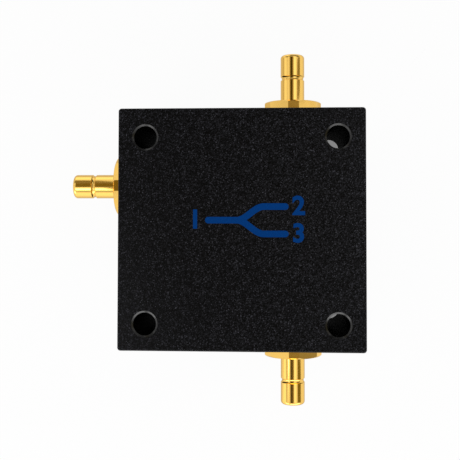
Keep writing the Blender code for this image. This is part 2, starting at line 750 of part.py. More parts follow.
def main():
    clear_scene()
    black = finish("black_powder_coat", (0.012, 0.012, 0.013), 0.55, 0.0)
    gold = finish("gold_plate", (0.88, 0.60, 0.20), 0.18, 1.0)
    brass = finish("gold_plated_pin", (0.90, 0.64, 0.26), 0.15, 1.0)
    steel = finish("zinc_steel", (0.60, 0.60, 0.58), 0.32, 1.0)
    white = finish("white_insulator", (0.82, 0.81, 0.78), 0.45, 0.0)
    laminate = finish("green_laminate", (0.015, 0.11, 0.045), 0.40, 0.0)
    ferrite = finish("grey_ferrite", (0.045, 0.045, 0.050), 0.60, 0.0)
    red = finish("red_enamel_wire", (0.42, 0.035, 0.02), 0.25, 0.6)
    green = finish("green_enamel_wire", (0.03, 0.20, 0.06), 0.25, 0.6)
    copper = finish("copper_enamel_wire", (0.50, 0.17, 0.06), 0.25, 0.8)
    tan = finish("resistor_lacquer", (0.55, 0.36, 0.18), 0.40, 0.0)
    ochre = finish("capacitor_lacquer", (0.60, 0.30, 0.05), 0.40, 0.0)

    frames = [(port, port_frame(port)) for port in PORTS]
    bores = bore_cutter()
    countersinks = countersink_cutter()
    board_holes = board_hole_cutter()
    cavity = cavity_cutter()
    port_holes = port_hole_cutter(frames)

    build_housing([bores, countersinks, board_holes] + port_holes + [cavity], black)
    build_cover([bores, countersinks], black)
    cover_screws(steel)
    build_board(board_holes, laminate)
    board_screws(steel)
    build_components(ferrite, (red, green, copper), tan, ochre)
    for port, frame in frames:
        build_port(port, frame, gold, white, brass, steel)


main()
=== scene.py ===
# %% [markdown]
# RF hybrid combiner, dressed for its portrait
#
# The object is a small square box that splits a radio signal in two, or joins two into one. Its
# housing is aluminium with a black powder coat, and three gold-plated coaxial jacks stand out of its
# sides. The engineering model gives every piece its place and size. This script gives the pieces
# fine edges and real surfaces, and then lights and frames them as a product photographer would.

# %% Load the frame
from collections import namedtuple
from math import asin, cos, degrees, hypot, pi, radians, sin

import bmesh
import bpy
from mathutils import Matrix, Vector


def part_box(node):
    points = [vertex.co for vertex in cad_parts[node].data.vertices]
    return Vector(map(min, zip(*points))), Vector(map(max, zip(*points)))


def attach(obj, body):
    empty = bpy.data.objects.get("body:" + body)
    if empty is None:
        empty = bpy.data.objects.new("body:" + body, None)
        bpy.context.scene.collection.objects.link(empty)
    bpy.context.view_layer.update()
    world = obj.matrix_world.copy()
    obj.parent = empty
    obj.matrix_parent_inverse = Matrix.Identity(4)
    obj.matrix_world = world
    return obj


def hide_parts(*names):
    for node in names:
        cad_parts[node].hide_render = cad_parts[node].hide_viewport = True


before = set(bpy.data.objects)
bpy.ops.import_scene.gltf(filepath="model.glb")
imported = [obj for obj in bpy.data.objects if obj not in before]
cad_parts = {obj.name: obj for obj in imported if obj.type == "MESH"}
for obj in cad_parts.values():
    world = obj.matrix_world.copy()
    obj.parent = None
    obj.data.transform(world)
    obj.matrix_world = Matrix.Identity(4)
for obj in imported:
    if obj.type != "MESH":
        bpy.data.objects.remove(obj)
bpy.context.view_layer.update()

MM = 0.001
print("nodes in the frame:", len(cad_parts))

# %% [markdown]
# Colours
#
# Colours are given as sRGB hex values, as in any paint program. Blender's shaders work with
# linear light, so one function turns the first into the second. Every material below uses it.

# %% Turn a hex colour into linear light
def linear(hex_colour):
    """A colour such as "FFD781" as linear red, green, blue and alpha."""
    channels = [int(hex_colour[i:i + 2], 16) / 255 for i in (0, 2, 4)]
    light = [c / 12.92 if c <= 0.04045 else ((c + 0.055) / 1.055) ** 2.4 for c in channels]
    return (*light, 1.0)


print("mid grey 808080 is", round(linear("808080")[0], 3), "in linear light")

# %% [markdown]
# Nodes
#
# A procedural material is a small network. Writing it by hand means adding a node, setting some of
# its values and linking some of its inputs, over and over. One function does all three, and each
# material then reads as a list of its ingredients. The first two nodes are always the same: object
# coordinates, turned to millimetres, so that every pattern below can be given at its real size.
# Most surfaces then end in the same way: a pattern lets the roughness wander, blends two colours or
# raises small bumps. Each of these has a short function too. Nearly all of a noise's values lie
# between 0.3 and 0.7, which is the spread that a roughness can be asked to follow.

# %% Add nodes and start a material
def add_node(tree, kind, settings, links):
    """Add one node, with settings by property or input name and links by input name."""
    made = tree.nodes.new(kind)
    for name, value in settings.items():
        if isinstance(name, str) and name in made.bl_rna.properties:
            setattr(made, name, value)
        else:
            made.inputs[name].default_value = value
    for name, source in links.items():
        tree.links.new(source, made.inputs[name])
    return made


def start_material(name, settings):
    """A Principled material with plain settings, and its coordinates in millimetres."""
    material = bpy.data.materials.new(name)
    material.use_nodes = True
    tree = material.node_tree
    shader = tree.nodes["Principled BSDF"]
    for socket, value in settings.items():
        shader.inputs[socket].default_value = value
    place = add_node(tree, "ShaderNodeTexCoord", {}, {})
    scaled = add_node(tree, "ShaderNodeVectorMath", {"operation": "SCALE", "Scale": 1 / MM},
                      {"Vector": place.outputs["Object"]})
    return material, tree, shader, scaled.outputs["Vector"]


def noise(tree, place, patch_mm, detail):
    """Cloudy noise with patches of about the given size."""
    made = add_node(tree, "ShaderNodeTexNoise", {"Scale": 1 / patch_mm, "Detail": detail},
                    {"Vector": place})
    return made.outputs["Fac"]


def lathe_rings(tree, place, ring_mm, detail):
    """Rings round the piece's Z axis, of uneven height, as a lathe tool leaves them."""
    axis = add_node(tree, "ShaderNodeSeparateXYZ", {}, {"Vector": place})
    made = add_node(tree, "ShaderNodeTexNoise",
                    {"noise_dimensions": "1D", "Scale": 1 / ring_mm, "Detail": detail},
                    {"W": axis.outputs["Z"]})
    return made.outputs["Fac"]


NOISE_SPREAD = (0.3, 0.7)


def vary_roughness(tree, shader, pattern, low, high, spread=(0.0, 1.0)):
    """Let a pattern carry the roughness from low to high over a spread of its values."""
    rough = add_node(tree, "ShaderNodeMapRange",
                     {"From Min": spread[0], "From Max": spread[1],
                      "To Min": low, "To Max": high}, {"Value": pattern})
    tree.links.new(rough.outputs["Result"], shader.inputs["Roughness"])


def blend_colours(tree, shader, pattern, first, second):
    """Let a pattern blend the base colour between two hex colours."""
    blend = add_node(tree, "ShaderNodeMix",
                     {"data_type": "RGBA", 6: linear(first), 7: linear(second)}, {0: pattern})
    tree.links.new(blend.outputs[2], shader.inputs["Base Color"])


def raise_bumps(tree, shader, pattern, strength, height_mm, under={}):
    """Let a pattern raise small bumps, over a normal that is already tilted if there is one."""
    bump = add_node(tree, "ShaderNodeBump", {"Strength": strength, "Distance": height_mm * MM},
                    {"Height": pattern, **under})
    tree.links.new(bump.outputs["Normal"], shader.inputs["Normal"])


print("material helpers ready")

# %% [markdown]
# Black textured powder coat
#
# The housing is sprayed with dry epoxy-polyester powder, which melts in an oven and shrinks into a
# fine leathery grain. To the eye it is a dull near-black with countless grey glints, each a tiny
# bump that catches a lamp. One Voronoi pattern makes the grains, which are about a tenth of a
# millimetre wide. Its random colour sets each grain's brightness in the base colour, so that a few
# stand out and most stay dark. That brightness is partly the coat's own uneven tone and partly
# painted glints, which stand in for the lamp caught by the bumps. The pattern also tilts each grain
# a little. A slow noise lays the coat's orange peel under them.

# %% Black textured powder coat
GRAIN_MM = 0.12
GRAIN_TONE_AND_GLINT_SPREAD = 3.0
GRAIN_TILT = 0.20
ORANGE_PEEL_MM = 1.1
PEEL_HEIGHT_MM = 0.03
PIGMENT = "0B0B0D"


def powder_coat():
    """Grains of random brightness, partly painted glints, and tilt over a slow orange peel."""
    material, tree, shader, place = start_material(
        "black_textured_powder_coat",
        {"Metallic": 0.0, "IOR": 1.5, "Specular IOR Level": 0.08, "Roughness": 0.36})
    grain = add_node(tree, "ShaderNodeTexVoronoi", {"Scale": 1 / GRAIN_MM}, {"Vector": place})
    chance = add_node(tree, "ShaderNodeSeparateColor", {}, {"Color": grain.outputs["Color"]})
    sum_of_two = add_node(tree, "ShaderNodeMath", {"operation": "ADD"},
                          {0: chance.outputs["Red"], 1: chance.outputs["Green"]})
    # Each grain's brightness in the base colour: partly the coat's uneven tone, partly painted
    # glints.
    tone_and_glint_stops = add_node(tree, "ShaderNodeMath",
                     {"operation": "MULTIPLY_ADD", 1: GRAIN_TONE_AND_GLINT_SPREAD, 2: -GRAIN_TONE_AND_GLINT_SPREAD},
                     {0: sum_of_two.outputs[0]})
    brightness = add_node(tree, "ShaderNodeMath", {"operation": "EXPONENT"},
                          {0: tone_and_glint_stops.outputs[0]})
    colour = add_node(tree, "ShaderNodeVectorMath",
                      {"operation": "SCALE", 0: linear(PIGMENT)[:3]},
                      {"Scale": brightness.outputs[0]})
    tree.links.new(colour.outputs["Vector"], shader.inputs["Base Color"])
    centred = add_node(tree, "ShaderNodeVectorMath", {"operation": "SUBTRACT", 1: (0.5, 0.5, 0.5)},
                       {0: grain.outputs["Color"]})
    surface = add_node(tree, "ShaderNodeNewGeometry", {}, {})
    tilted = add_node(tree, "ShaderNodeVectorMath",
                      {"operation": "MULTIPLY_ADD", 1: (GRAIN_TILT, GRAIN_TILT, GRAIN_TILT)},
                      {0: centred.outputs["Vector"], 2: surface.outputs["Normal"]})
    facing = add_node(tree, "ShaderNodeVectorMath", {"operation": "NORMALIZE"},
                      {0: tilted.outputs["Vector"]})
    raise_bumps(tree, shader, noise(tree, place, ORANGE_PEEL_MM, 2.0), 0.8, PEEL_HEIGHT_MM,
                {"Normal": facing.outputs["Vector"]})
    return material


BLACK_COAT = powder_coat()
print("made", BLACK_COAT.name)

# %% [markdown]
# Black in and around the bores
#
# A spray gun can't reach far into a 3.3 mm bore, so its wall only gets a thin, dead matt dusting of
# powder. Its near-black colour, darker than the coat's pigment, is painted shade for the little
# light that gets down the bore. The chamfer at its mouth is the opposite: powder draws back from a
# sharp edge as it melts, and the thin film left there is smooth and glossy. That is why a bright arc
# stands over each bore.

# %% Matt wall and glossy mouth of the bores
CLOUD_MM = 0.35


def plain_black(name, colour, roughness, gloss):
    """The coat without its grain, slightly uneven in roughness."""
    material, tree, shader, place = start_material(
        name, {"Base Color": linear(colour), "IOR": 1.5, "Specular IOR Level": gloss})
    cloud = noise(tree, place, CLOUD_MM, 4.0)
    vary_roughness(tree, shader, cloud, roughness * 0.85, roughness * 1.15, NOISE_SPREAD)
    raise_bumps(tree, shader, cloud, 0.5, 0.006)
    return material


# Painted shade: the wall's colour is darker than the coat's pigment, for the depth of the bore.
BORE_WALL_PAINTED_SHADE = plain_black("matt_bore_wall_with_painted_shade", "010101", 0.55, 0.004)
THIN_FILM = plain_black("thin_glossy_film_at_the_mouth", "0E0D0C", 0.24, 0.44)
print("made", BORE_WALL_PAINTED_SHADE.name, "and", THIN_FILM.name)

# %% [markdown]
# Gold-plated brass
#
# Each jack is turned from brass bar on a lathe and plated with about a micron of gold. The
# plating is so thin that the lathe's marks stay: rings round the axis, a few hundredths of a
# millimetre apart. They stretch each reflection a little across the rings and leave it sharp along
# the barrel. A metal keeps the default IOR, and its base colour is what it mirrors at right angles.

# %% Gold-plated brass
TOOL_MARK_MM = 0.07
TOOL_MARK_HEIGHT_MM = 0.0006
SMUDGES_PER_MM = 0.9


def gold_plate(name, colour, roughness):
    """Gold with fine lathe rings, and a roughness that smudges make wander."""
    material, tree, shader, place = start_material(
        name, {"Base Color": linear(colour), "Metallic": 1.0})
    smudges = noise(tree, place, 1 / SMUDGES_PER_MM, 3.0)
    vary_roughness(tree, shader, smudges, roughness * 0.8, roughness * 1.3, NOISE_SPREAD)
    raise_bumps(tree, shader, lathe_rings(tree, place, TOOL_MARK_MM, 3.0), 0.6,
                TOOL_MARK_HEIGHT_MM)
    return material


GOLD = gold_plate("gold_plated_turned_brass", "F6C868", 0.09)
PIN_GOLD = gold_plate("gold_plated_contact_brass", "FFDA8C", 0.18)
print("made", GOLD.name, "and", PIN_GOLD.name)

# %% [markdown]
# White fluoropolymer
#
# The insulators are turned from PTFE rod. It is a waxy, slightly see-through white with faint tool
# rings and no gloss. A little subsurface scattering gives the wax, at a depth of a fraction of a
# millimetre.

# %% White fluoropolymer
PTFE_RING_MM = 0.12


def fluoropolymer():
    """Waxy white with faint tool rings."""
    material, tree, shader, place = start_material(
        "turned_white_ptfe",
        {"Base Color": linear("ECEAE3"), "Roughness": 0.48, "IOR": 1.36,
         "Subsurface Weight": 0.15, "Subsurface Scale": 0.3 * MM})
    raise_bumps(tree, shader, lathe_rings(tree, place, PTFE_RING_MM, 2.0), 0.5, 0.003)
    return material


PTFE = fluoropolymer()
print("made", PTFE.name)

# %% [markdown]
# Zinc-plated steel
#
# The screws and washers are cold-formed steel with bright zinc. Rolling and tumbling leave a soft
# satin with small dents, so the roughness and the bump both wander at about half a millimetre. The
# tinned leads and the solder are as bright and as uneven, and share this material.

# %% Zinc-plated steel
TUMBLE_MARK_MM = 0.45


def zinc_plate():
    """Satin metal with small dents."""
    material, tree, shader, place = start_material(
        "bright_zinc_plated_steel", {"Base Color": linear("C9CAC8"), "Metallic": 1.0})
    dents = noise(tree, place, TUMBLE_MARK_MM, 5.0)
    vary_roughness(tree, shader, dents, 0.20, 0.42)
    raise_bumps(tree, shader, dents, 0.4, 0.01)
    return material


ZINC = zinc_plate()
print("made", ZINC.name)

# %% [markdown]
# Solids for the fine pieces
#
# The engineering model has few facets. Each visible piece is made again here with many. Nearly all
# of them are turned, so the main tool spins an outline of radius and height round an axis. It can
# also ask for the radius at each angle, which is how a screw thread is cut into it.

# %% Turn an outline into a solid
FINE = 96
SAME = 1e-7


def turned(outline, segments=FINE, radius_at=None):
    """Spin (radius, height) points round Z: from pole to pole, or as a closed ring."""
    bm = bmesh.new()
    rings = []
    for radius, height in outline:
        ring = []
        for i in range(segments if radius > 0 else 1):
            angle = 2 * pi * i / segments
            reach = radius_at(radius, height, angle) if radius_at else radius
            ring.append(bm.verts.new((reach * cos(angle), reach * sin(angle), height)))
        rings.append(ring)
    pairs = list(zip(rings, rings[1:]))
    if outline[0][0] > 0:
        pairs.append((rings[-1], rings[0]))
    for low, high in pairs:
        for i in range(segments):
            j = (i + 1) % segments
            corners = (low[i % len(low)], low[j % len(low)],
                       high[j % len(high)], high[i % len(high)])
            bm.faces.new(list(dict.fromkeys(corners)))
    return bm


def arc(centre_r, centre_z, radius, start, end, steps=8):
    """Points of a round stretch of an outline, with angles in degrees."""
    angles = [radians(start + (end - start) * i / steps) for i in range(steps + 1)]
    return [(centre_r + radius * cos(a), centre_z + radius * sin(a)) for a in angles]


def rod(radius, low, high):
    """Outline of a plain cylinder."""
    return [(0, low), (radius, low), (radius, high), (0, high)]


def box_mesh(size, middle_z=0.0):
    """A plain box of the given size, centred on the Z axis."""
    bm = bmesh.new()
    bmesh.ops.create_cube(bm, size=1.0)
    bmesh.ops.scale(bm, verts=bm.verts, vec=size)
    bmesh.ops.translate(bm, verts=bm.verts, vec=(0, 0, middle_z))
    return bm


print("a plain rod has", len(turned(rod(1, 0, 1)).faces), "faces")

# %% [markdown]
# Meshes into pieces
#
# A mesh becomes an object, and a Boolean then cuts it with others, as a mill or a drill would. The
# cutters go once they have done their work. Faces are shaded smooth between crisp edges, and a
# weighted normal keeps the large flats flat beside their rounded edges.

# %% Make, cut and finish pieces
CRISP_DEGREES = 25


def make_object(name, bm, transform=Matrix.Identity(4)):
    """Close a bmesh into a new object whose faces point out."""
    bmesh.ops.recalc_face_normals(bm, faces=bm.faces)
    mesh = bpy.data.meshes.new(name)
    bm.to_mesh(mesh)
    bm.free()
    made = bpy.data.objects.new(name, mesh)
    made.matrix_world = transform
    bpy.context.collection.objects.link(made)
    return made


def cut(piece, tools, operation="DIFFERENCE"):
    """Cut a piece with each tool in turn, keep the result and throw the tools away."""
    for tool in tools:
        boolean = piece.modifiers.new(tool.name, "BOOLEAN")
        boolean.operation = operation
        boolean.solver = "EXACT"
        boolean.object = tool
    graph = bpy.context.evaluated_depsgraph_get()
    worked = bpy.data.meshes.new_from_object(piece.evaluated_get(graph))
    piece.modifiers.clear()
    piece.data = worked
    for tool in tools:
        bpy.data.objects.remove(tool, do_unlink=True)
    return piece


def mesh_of_curve(name, curve, weld):
    """The mesh of a text or wire, with points that lie closer than weld joined."""
    holder = bpy.data.objects.new(name + "_path", curve)
    bpy.context.collection.objects.link(holder)
    graph = bpy.context.evaluated_depsgraph_get()
    mesh = bpy.data.meshes.new_from_object(holder.evaluated_get(graph))
    bpy.data.objects.remove(holder, do_unlink=True)
    bm = bmesh.new()
    bm.from_mesh(mesh)
    bmesh.ops.remove_doubles(bm, verts=bm.verts, dist=weld)
    return bm


def finish_piece(piece, material, nodes=(), weighted=True):
    """Shade a piece, give it its material, hang it on the root body and hide the frame's nodes it
    stands for.
    """
    mesh = piece.data
    mesh.materials.clear()
    mesh.materials.append(material)
    for face in mesh.polygons:
        face.material_index = 0
    mesh.shade_smooth()
    mesh.set_sharp_from_angle(angle=radians(CRISP_DEGREES))
    if weighted:
        normals = piece.modifiers.new("flat_faces_stay_flat", "WEIGHTED_NORMAL")
        normals.keep_sharp = True
    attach(piece, "root")
    if nodes:
        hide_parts(*nodes)
    print(piece.name, "has", len(mesh.polygons), "faces")
    return piece


print("piece helpers ready")

# %% [markdown]
# Sizes from the frame
#
# The housing's and cover's boxes come from the frame. What the boxes can't say, such as where the
# bores are, is given here once, at its real size.

# %% Main sizes
HOUSING_LOW, HOUSING_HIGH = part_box("housing")
COVER_LOW, COVER_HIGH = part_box("base_cover")
HALF_X = HOUSING_HIGH[0]
HALF_Y = HOUSING_HIGH[1]
FACE_Z = HOUSING_HIGH[2]
SEAM_Z = HOUSING_LOW[2]
WALL = 2.4 * MM
INNER_X = HALF_X - WALL
INNER_Y = HALF_Y - WALL
CEILING_Z = FACE_Z - WALL
CORNER_RADIUS = 0.45 * MM
EDGE_RADIUS = 0.32 * MM

BORE_X = 13.85 * MM
BORE_Y = 13.4 * MM
BORE_MIDDLE_Y = -0.18 * MM
BORE_RADIUS = 1.65 * MM
CHAMFER_WIDTH = 0.25 * MM
CHAMFER_DEPTH = 0.17 * MM
COLUMN_RADIUS = BORE_RADIUS + 1.1 * MM
BORE_SPOTS = [(x, BORE_MIDDLE_Y + y) for x in (-BORE_X, BORE_X) for y in (-BORE_Y, BORE_Y)]

CUTTER_REACH = 1.0 * MM
SEAT_GAP = 0.2 * MM
FIT_GAP = 0.1 * MM
SCREW_RADIUS = 1.0 * MM
SCREW_HOLE_RADIUS = SCREW_RADIUS + FIT_GAP


def middle_of(node):
    """The middle of a node's box."""
    low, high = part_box(node)
    return (Vector(low) + Vector(high)) / 2


COVER_SCREW_SPOTS = [tuple(middle_of(f"cover_screw_{n}"))[:2] for n in (1, 2, 3, 4)]
BOARD_SCREW_SPOTS = [tuple(middle_of(f"board_screw_{n}"))[:2] for n in (1, 2)]
print("cover screws in mm:", [(round(x / MM, 2), round(y / MM, 2)) for x, y in COVER_SCREW_SPOTS])

# %% [markdown]
# Housing
#
# The housing is milled from the back out of a solid block. Four columns stay round the corner bores,
# four bosses stay for the cover's screws, and two posts hang from the ceiling for the board. It
# could be drawn face by face, but cutting it as the mill does keeps every edge where a cutter would
# leave it. The edges are broken by hand before coating, so they are a soft 0.3 mm.

# %% Cutters that housing and cover share
def at(x, y, z=0.0):
    """A plain move to a place."""
    return Matrix.Translation((x, y, z))


def drills(radius, low, high, spots, segments=48):
    """Plain round cutters, one upright at each spot."""
    return [make_object("drill", turned(rod(radius, low, high), segments), at(*spot))
            for spot in spots]


def bore_cutters():
    """Through bores, flared at both outer faces by a small chamfer."""
    wide = BORE_RADIUS + CHAMFER_WIDTH
    flare = wide + CUTTER_REACH
    outline = [
        (0, -CUTTER_REACH), (flare, -CUTTER_REACH), (wide, 0), (BORE_RADIUS, CHAMFER_DEPTH),
        (BORE_RADIUS, FACE_Z - CHAMFER_DEPTH), (wide, FACE_Z), (flare, FACE_Z + CUTTER_REACH),
        (0, FACE_Z + CUTTER_REACH),
    ]
    return [make_object("bore", turned(outline), at(x, y)) for x, y in BORE_SPOTS]


HEAD_RADIUS = 1.9 * MM
HEAD_SINK = 0.1 * MM
HEAD_RIM = 0.2 * MM
COVER_SCREW_LENGTH = 6.0 * MM


def countersink_cutters():
    """Countersunk holes for the cover's screws, blind in the housing."""
    head = HEAD_RADIUS + FIT_GAP
    rim = HEAD_SINK + HEAD_RIM
    depth = HEAD_SINK + COVER_SCREW_LENGTH + SEAT_GAP
    outline = [
        (0, -CUTTER_REACH), (head, -CUTTER_REACH), (head, rim),
        (SCREW_HOLE_RADIUS, rim + head - SCREW_HOLE_RADIUS), (SCREW_HOLE_RADIUS, depth),
        (0, depth),
    ]
    return [make_object("countersink", turned(outline), at(x, y)) for x, y in COVER_SCREW_SPOTS]


def rounded_block(name, low, high, open_z):
    """A block of the housing's footprint, with rounded edges apart from those at open_z."""
    bm = box_mesh((2 * HALF_X, 2 * HALF_Y, high - low), (low + high) / 2)
    upright = [e for e in bm.edges if abs(e.verts[0].co.z - e.verts[1].co.z) > (high - low) / 2]
    bmesh.ops.bevel(bm, geom=upright, offset=CORNER_RADIUS, segments=8, profile=0.5,
                    affect="EDGES")
    outer_z = high if open_z == low else low
    rim = [e for e in bm.edges if all(abs(v.co.z - outer_z) < SAME for v in e.verts)]
    bmesh.ops.bevel(bm, geom=rim, offset=EDGE_RADIUS, segments=6, profile=0.5, affect="EDGES")
    return make_object(name, bm)


print("bore pattern in mm:", round(2 * BORE_X / MM, 2), "by", round(2 * BORE_Y / MM, 2))

# %% Ports: where they are and which way they point
Port = namedtuple("Port", "name frame tip flange_turn groove_from_tip")
WALL_OF = {"common_port": (-HALF_X, None, -90), "output_port_1": (None, HALF_Y, 180),
           "output_port_2": (None, -HALF_Y, 0)}
FLANGE_TURN = {"common_port": 0, "output_port_1": 1, "output_port_2": -2}
GROOVE_FROM_TIP = {"common_port": 3.25 * MM, "output_port_1": 3.7 * MM, "output_port_2": 3.7 * MM}


def find_port(name):
    """A port's own axes: Z straight out of the wall, Y up, with the origin on the wall."""
    centre = middle_of(name + "_shell")
    wall_x, wall_y, heading = WALL_OF[name]
    x = centre.x if wall_x is None else wall_x
    y = centre.y if wall_y is None else wall_y
    lean = Matrix.Rotation(radians(heading), 4, "Z") @ Matrix.Rotation(pi / 2, 4, "X")
    low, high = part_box(name + "_shell")
    outward = lean.to_3x3() @ Vector((0, 0, 1))
    tip = max(outward.dot(Vector(low)), outward.dot(Vector(high))) - outward.dot(Vector((x, y, 0)))
    return Port(name, Matrix.Translation((x, y, centre.z)) @ lean, tip,
                radians(FLANGE_TURN[name]), GROOVE_FROM_TIP[name])


PORTS = [find_port(name) for name in WALL_OF]
for port in PORTS:
    print(port.name, "reaches", round(port.tip / MM, 2), "mm from its wall")

# %% Mill the housing
BOSS_RADIUS = 2.3 * MM
POST_RADIUS = 2.0 * MM
BOARD_LOW, BOARD_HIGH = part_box("circuit_board")
BOARD_HOLE_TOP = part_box("board_screw_1")[1][2] + SEAT_GAP
THREAD_RADIUS = 2.4 * MM
LEVEL_FACE = 0.95
SLOPING_FACE = 0.3
WALL_SLOT = 1
MOUTH_SLOT = 2


def cavity_cutter():
    """The milled hollow, less the columns, bosses and posts that the mill leaves standing."""
    low = SEAM_Z - CUTTER_REACH
    bm = box_mesh((2 * INNER_X, 2 * INNER_Y, CEILING_Z - low), (low + CEILING_Z) / 2)
    foot = low - CUTTER_REACH
    head = CEILING_Z + CUTTER_REACH
    left = drills(COLUMN_RADIUS, foot, head, BORE_SPOTS)
    left += drills(BOSS_RADIUS, foot, head, COVER_SCREW_SPOTS)
    left += drills(POST_RADIUS, BOARD_HIGH[2] + SEAT_GAP, head, BOARD_SCREW_SPOTS)
    return cut(make_object("cavity", bm), left)


def mark_bores(piece):
    """Give the bores' walls, whose colour is painted shade, and the chamfers at their mouths
    materials of their own.
    """
    mesh = piece.data
    mesh.materials.append(BORE_WALL_PAINTED_SHADE)
    mesh.materials.append(THIN_FILM)
    for face in mesh.polygons:
        reach = min(hypot(face.center.x - x, face.center.y - y) for x, y in BORE_SPOTS)
        level = abs(face.normal.z)
        if level > LEVEL_FACE or reach > BORE_RADIUS + CHAMFER_WIDTH:
            continue
        face.material_index = MOUTH_SLOT if level > SLOPING_FACE else WALL_SLOT


def housing_body():
    """The block after all its holes and its hollow are cut."""
    body = rounded_block("housing_body", SEAM_Z, FACE_Z, SEAM_Z)
    board_holes = drills(SCREW_HOLE_RADIUS, BOARD_HIGH[2], BOARD_HOLE_TOP, BOARD_SCREW_SPOTS, 32)
    port_hole = rod(THREAD_RADIUS + FIT_GAP, -WALL - CUTTER_REACH, CUTTER_REACH)
    port_holes = [make_object("port_hole", turned(port_hole, 64), port.frame) for port in PORTS]
    cut(body, bore_cutters() + countersink_cutters() + board_holes + port_holes)
    cut(body, [cavity_cutter()])
    finish_piece(body, BLACK_COAT, ["housing"])
    mark_bores(body)


def cover_plate():
    """The back cover, with the bores and countersunk holes right through it."""
    plate = rounded_block("cover_plate", COVER_LOW[2], COVER_HIGH[2], COVER_HIGH[2])
    cut(plate, bore_cutters() + countersink_cutters())
    finish_piece(plate, BLACK_COAT, ["base_cover"])
    mark_bores(plate)


housing_body()
cover_plate()

# %% [markdown]
# Jacks
#
# Each jack is one turned piece. From the outside in: a barrel with the groove that a plug's spring
# sleeve drops into, a disc-shaped flange, and behind the wall a fine thread. Six flats for a spanner
# are milled on the disc, with a smaller land at each corner between them. The flange's chamfer
# crosses them in shallow arcs, which only a true intersection gives, so the turned form is cut by
# two hexagonal prisms.

# %% Turn the jacks
FLANGE_RADIUS = 4.7 * MM
FLANGE_FLATS = 8.65 * MM
CORNER_LANDS = 9.04 * MM
FLANGE_FRONT = SEAT_GAP + 1.9 * MM
FLANGE_CHAMFER = 0.4 * MM
FLANGE_CHAMFER_DROP = 0.3 * MM
BARREL_RADIUS = 1.85 * MM
TIP_RADIUS = 0.5 * MM
GROOVE_WIDTH = 0.66 * MM
GROOVE_DEPTH = 0.16 * MM
SOCKET_RADIUS = 1.05 * MM
SOCKET_CHAMFER = 0.12 * MM
SEAT_RADIUS = 1.5 * MM
SEAT_FACE = -0.6 * MM
THREAD_PITCH = 0.5 * MM
THREAD_DEPTH = 0.16 * MM
THREAD_STEPS = 6
SHELL_REAR = -WALL - 3.3 * MM
REAR_CHAMFER = 0.25 * MM
SOFT = 0.06 * MM
PRISM_REACH = 30 * MM


def thread_dip(height, angle, low, high, pitch, depth):
    """How far a single-start thread dips below its crest at a height and an angle."""
    phase = (height / pitch - angle / (2 * pi)) % 1.0
    fade = max(0.0, min(1.0, (height - low) / pitch, (high - height) / pitch))
    return depth * (1 - abs(2 * phase - 1)) * fade


def groove_section(middle):
    """The groove's hollow: an arc through both its lips and its floor."""
    half = GROOVE_WIDTH / 2
    radius = (half ** 2 + GROOVE_DEPTH ** 2) / (2 * GROOVE_DEPTH)
    spread = degrees(asin(half / radius))
    centre = BARREL_RADIUS - GROOVE_DEPTH + radius
    return arc(centre, middle, radius, 180 + spread, 180 - spread, 12)


def jack_outline(port):
    """Section of a jack: up the thread, round the flange and barrel, and down the socket."""
    groove = port.tip - port.groove_from_tip
    thread_top = -THREAD_PITCH
    steps = round((thread_top - SHELL_REAR - REAR_CHAMFER) / THREAD_PITCH * THREAD_STEPS)
    rise = (thread_top - SHELL_REAR - REAR_CHAMFER) / steps
    outline = [(SEAT_RADIUS, SHELL_REAR), (THREAD_RADIUS - REAR_CHAMFER, SHELL_REAR)]
    outline += [(THREAD_RADIUS, SHELL_REAR + REAR_CHAMFER + rise * i) for i in range(steps + 1)]
    outline += [
        (THREAD_RADIUS, SEAT_GAP),
        (FLANGE_RADIUS, SEAT_GAP),
        (FLANGE_RADIUS, FLANGE_FRONT - FLANGE_CHAMFER_DROP),
        (FLANGE_RADIUS - FLANGE_CHAMFER, FLANGE_FRONT),
    ]
    outline += arc(BARREL_RADIUS + SOFT, FLANGE_FRONT + SOFT, SOFT, 270, 180, 3)
    outline += [
        (BARREL_RADIUS, FLANGE_FRONT + 2 * SOFT),
        (BARREL_RADIUS, groove - GROOVE_WIDTH / 2 - SOFT),
    ]
    outline += groove_section(groove)
    outline += [
        (BARREL_RADIUS, groove + GROOVE_WIDTH / 2 + SOFT),
        (BARREL_RADIUS, port.tip - TIP_RADIUS - SOFT),
    ]
    outline += arc(BARREL_RADIUS - TIP_RADIUS, port.tip - TIP_RADIUS, TIP_RADIUS, 0, 90)
    outline += [
        (SOCKET_RADIUS + SOCKET_CHAMFER, port.tip),
        (SOCKET_RADIUS, port.tip - SOCKET_CHAMFER),
        (SOCKET_RADIUS, SEAT_FACE),
        (SEAT_RADIUS, SEAT_FACE),
    ]
    return outline


def jack_radius(radius, height, angle):
    """The jack's radius at each point, with its thread cut behind the flange."""
    if abs(radius - THREAD_RADIUS) > SAME or height > 0:
        return radius
    low = SHELL_REAR + REAR_CHAMFER
    return radius - thread_dip(height, angle, low, -THREAD_PITCH, THREAD_PITCH, THREAD_DEPTH)


def hexagon(name, flats, transform):
    """A long hexagonal prism with a corner up, to mill flats on a turned piece."""
    corner = flats / 2 / cos(pi / 6)
    return make_object(name, turned(rod(corner, -PRISM_REACH, PRISM_REACH), 6),
                       transform @ Matrix.Rotation(pi / 2, 4, "Z"))


def jack_body(port):
    """A jack's shell, turned and then milled to its flats and lands."""
    body = make_object(port.name + "_body", turned(jack_outline(port), radius_at=jack_radius),
                       port.frame)
    turn = port.frame @ Matrix.Rotation(port.flange_turn, 4, "Z")
    sides = hexagon("sides", FLANGE_FLATS, turn)
    lands = hexagon("lands", CORNER_LANDS, turn @ Matrix.Rotation(pi / 6, 4, "Z"))
    cut(body, [sides, lands], "INTERSECT")
    return finish_piece(body, GOLD, [port.name + "_shell"])


for port in PORTS:
    jack_body(port)

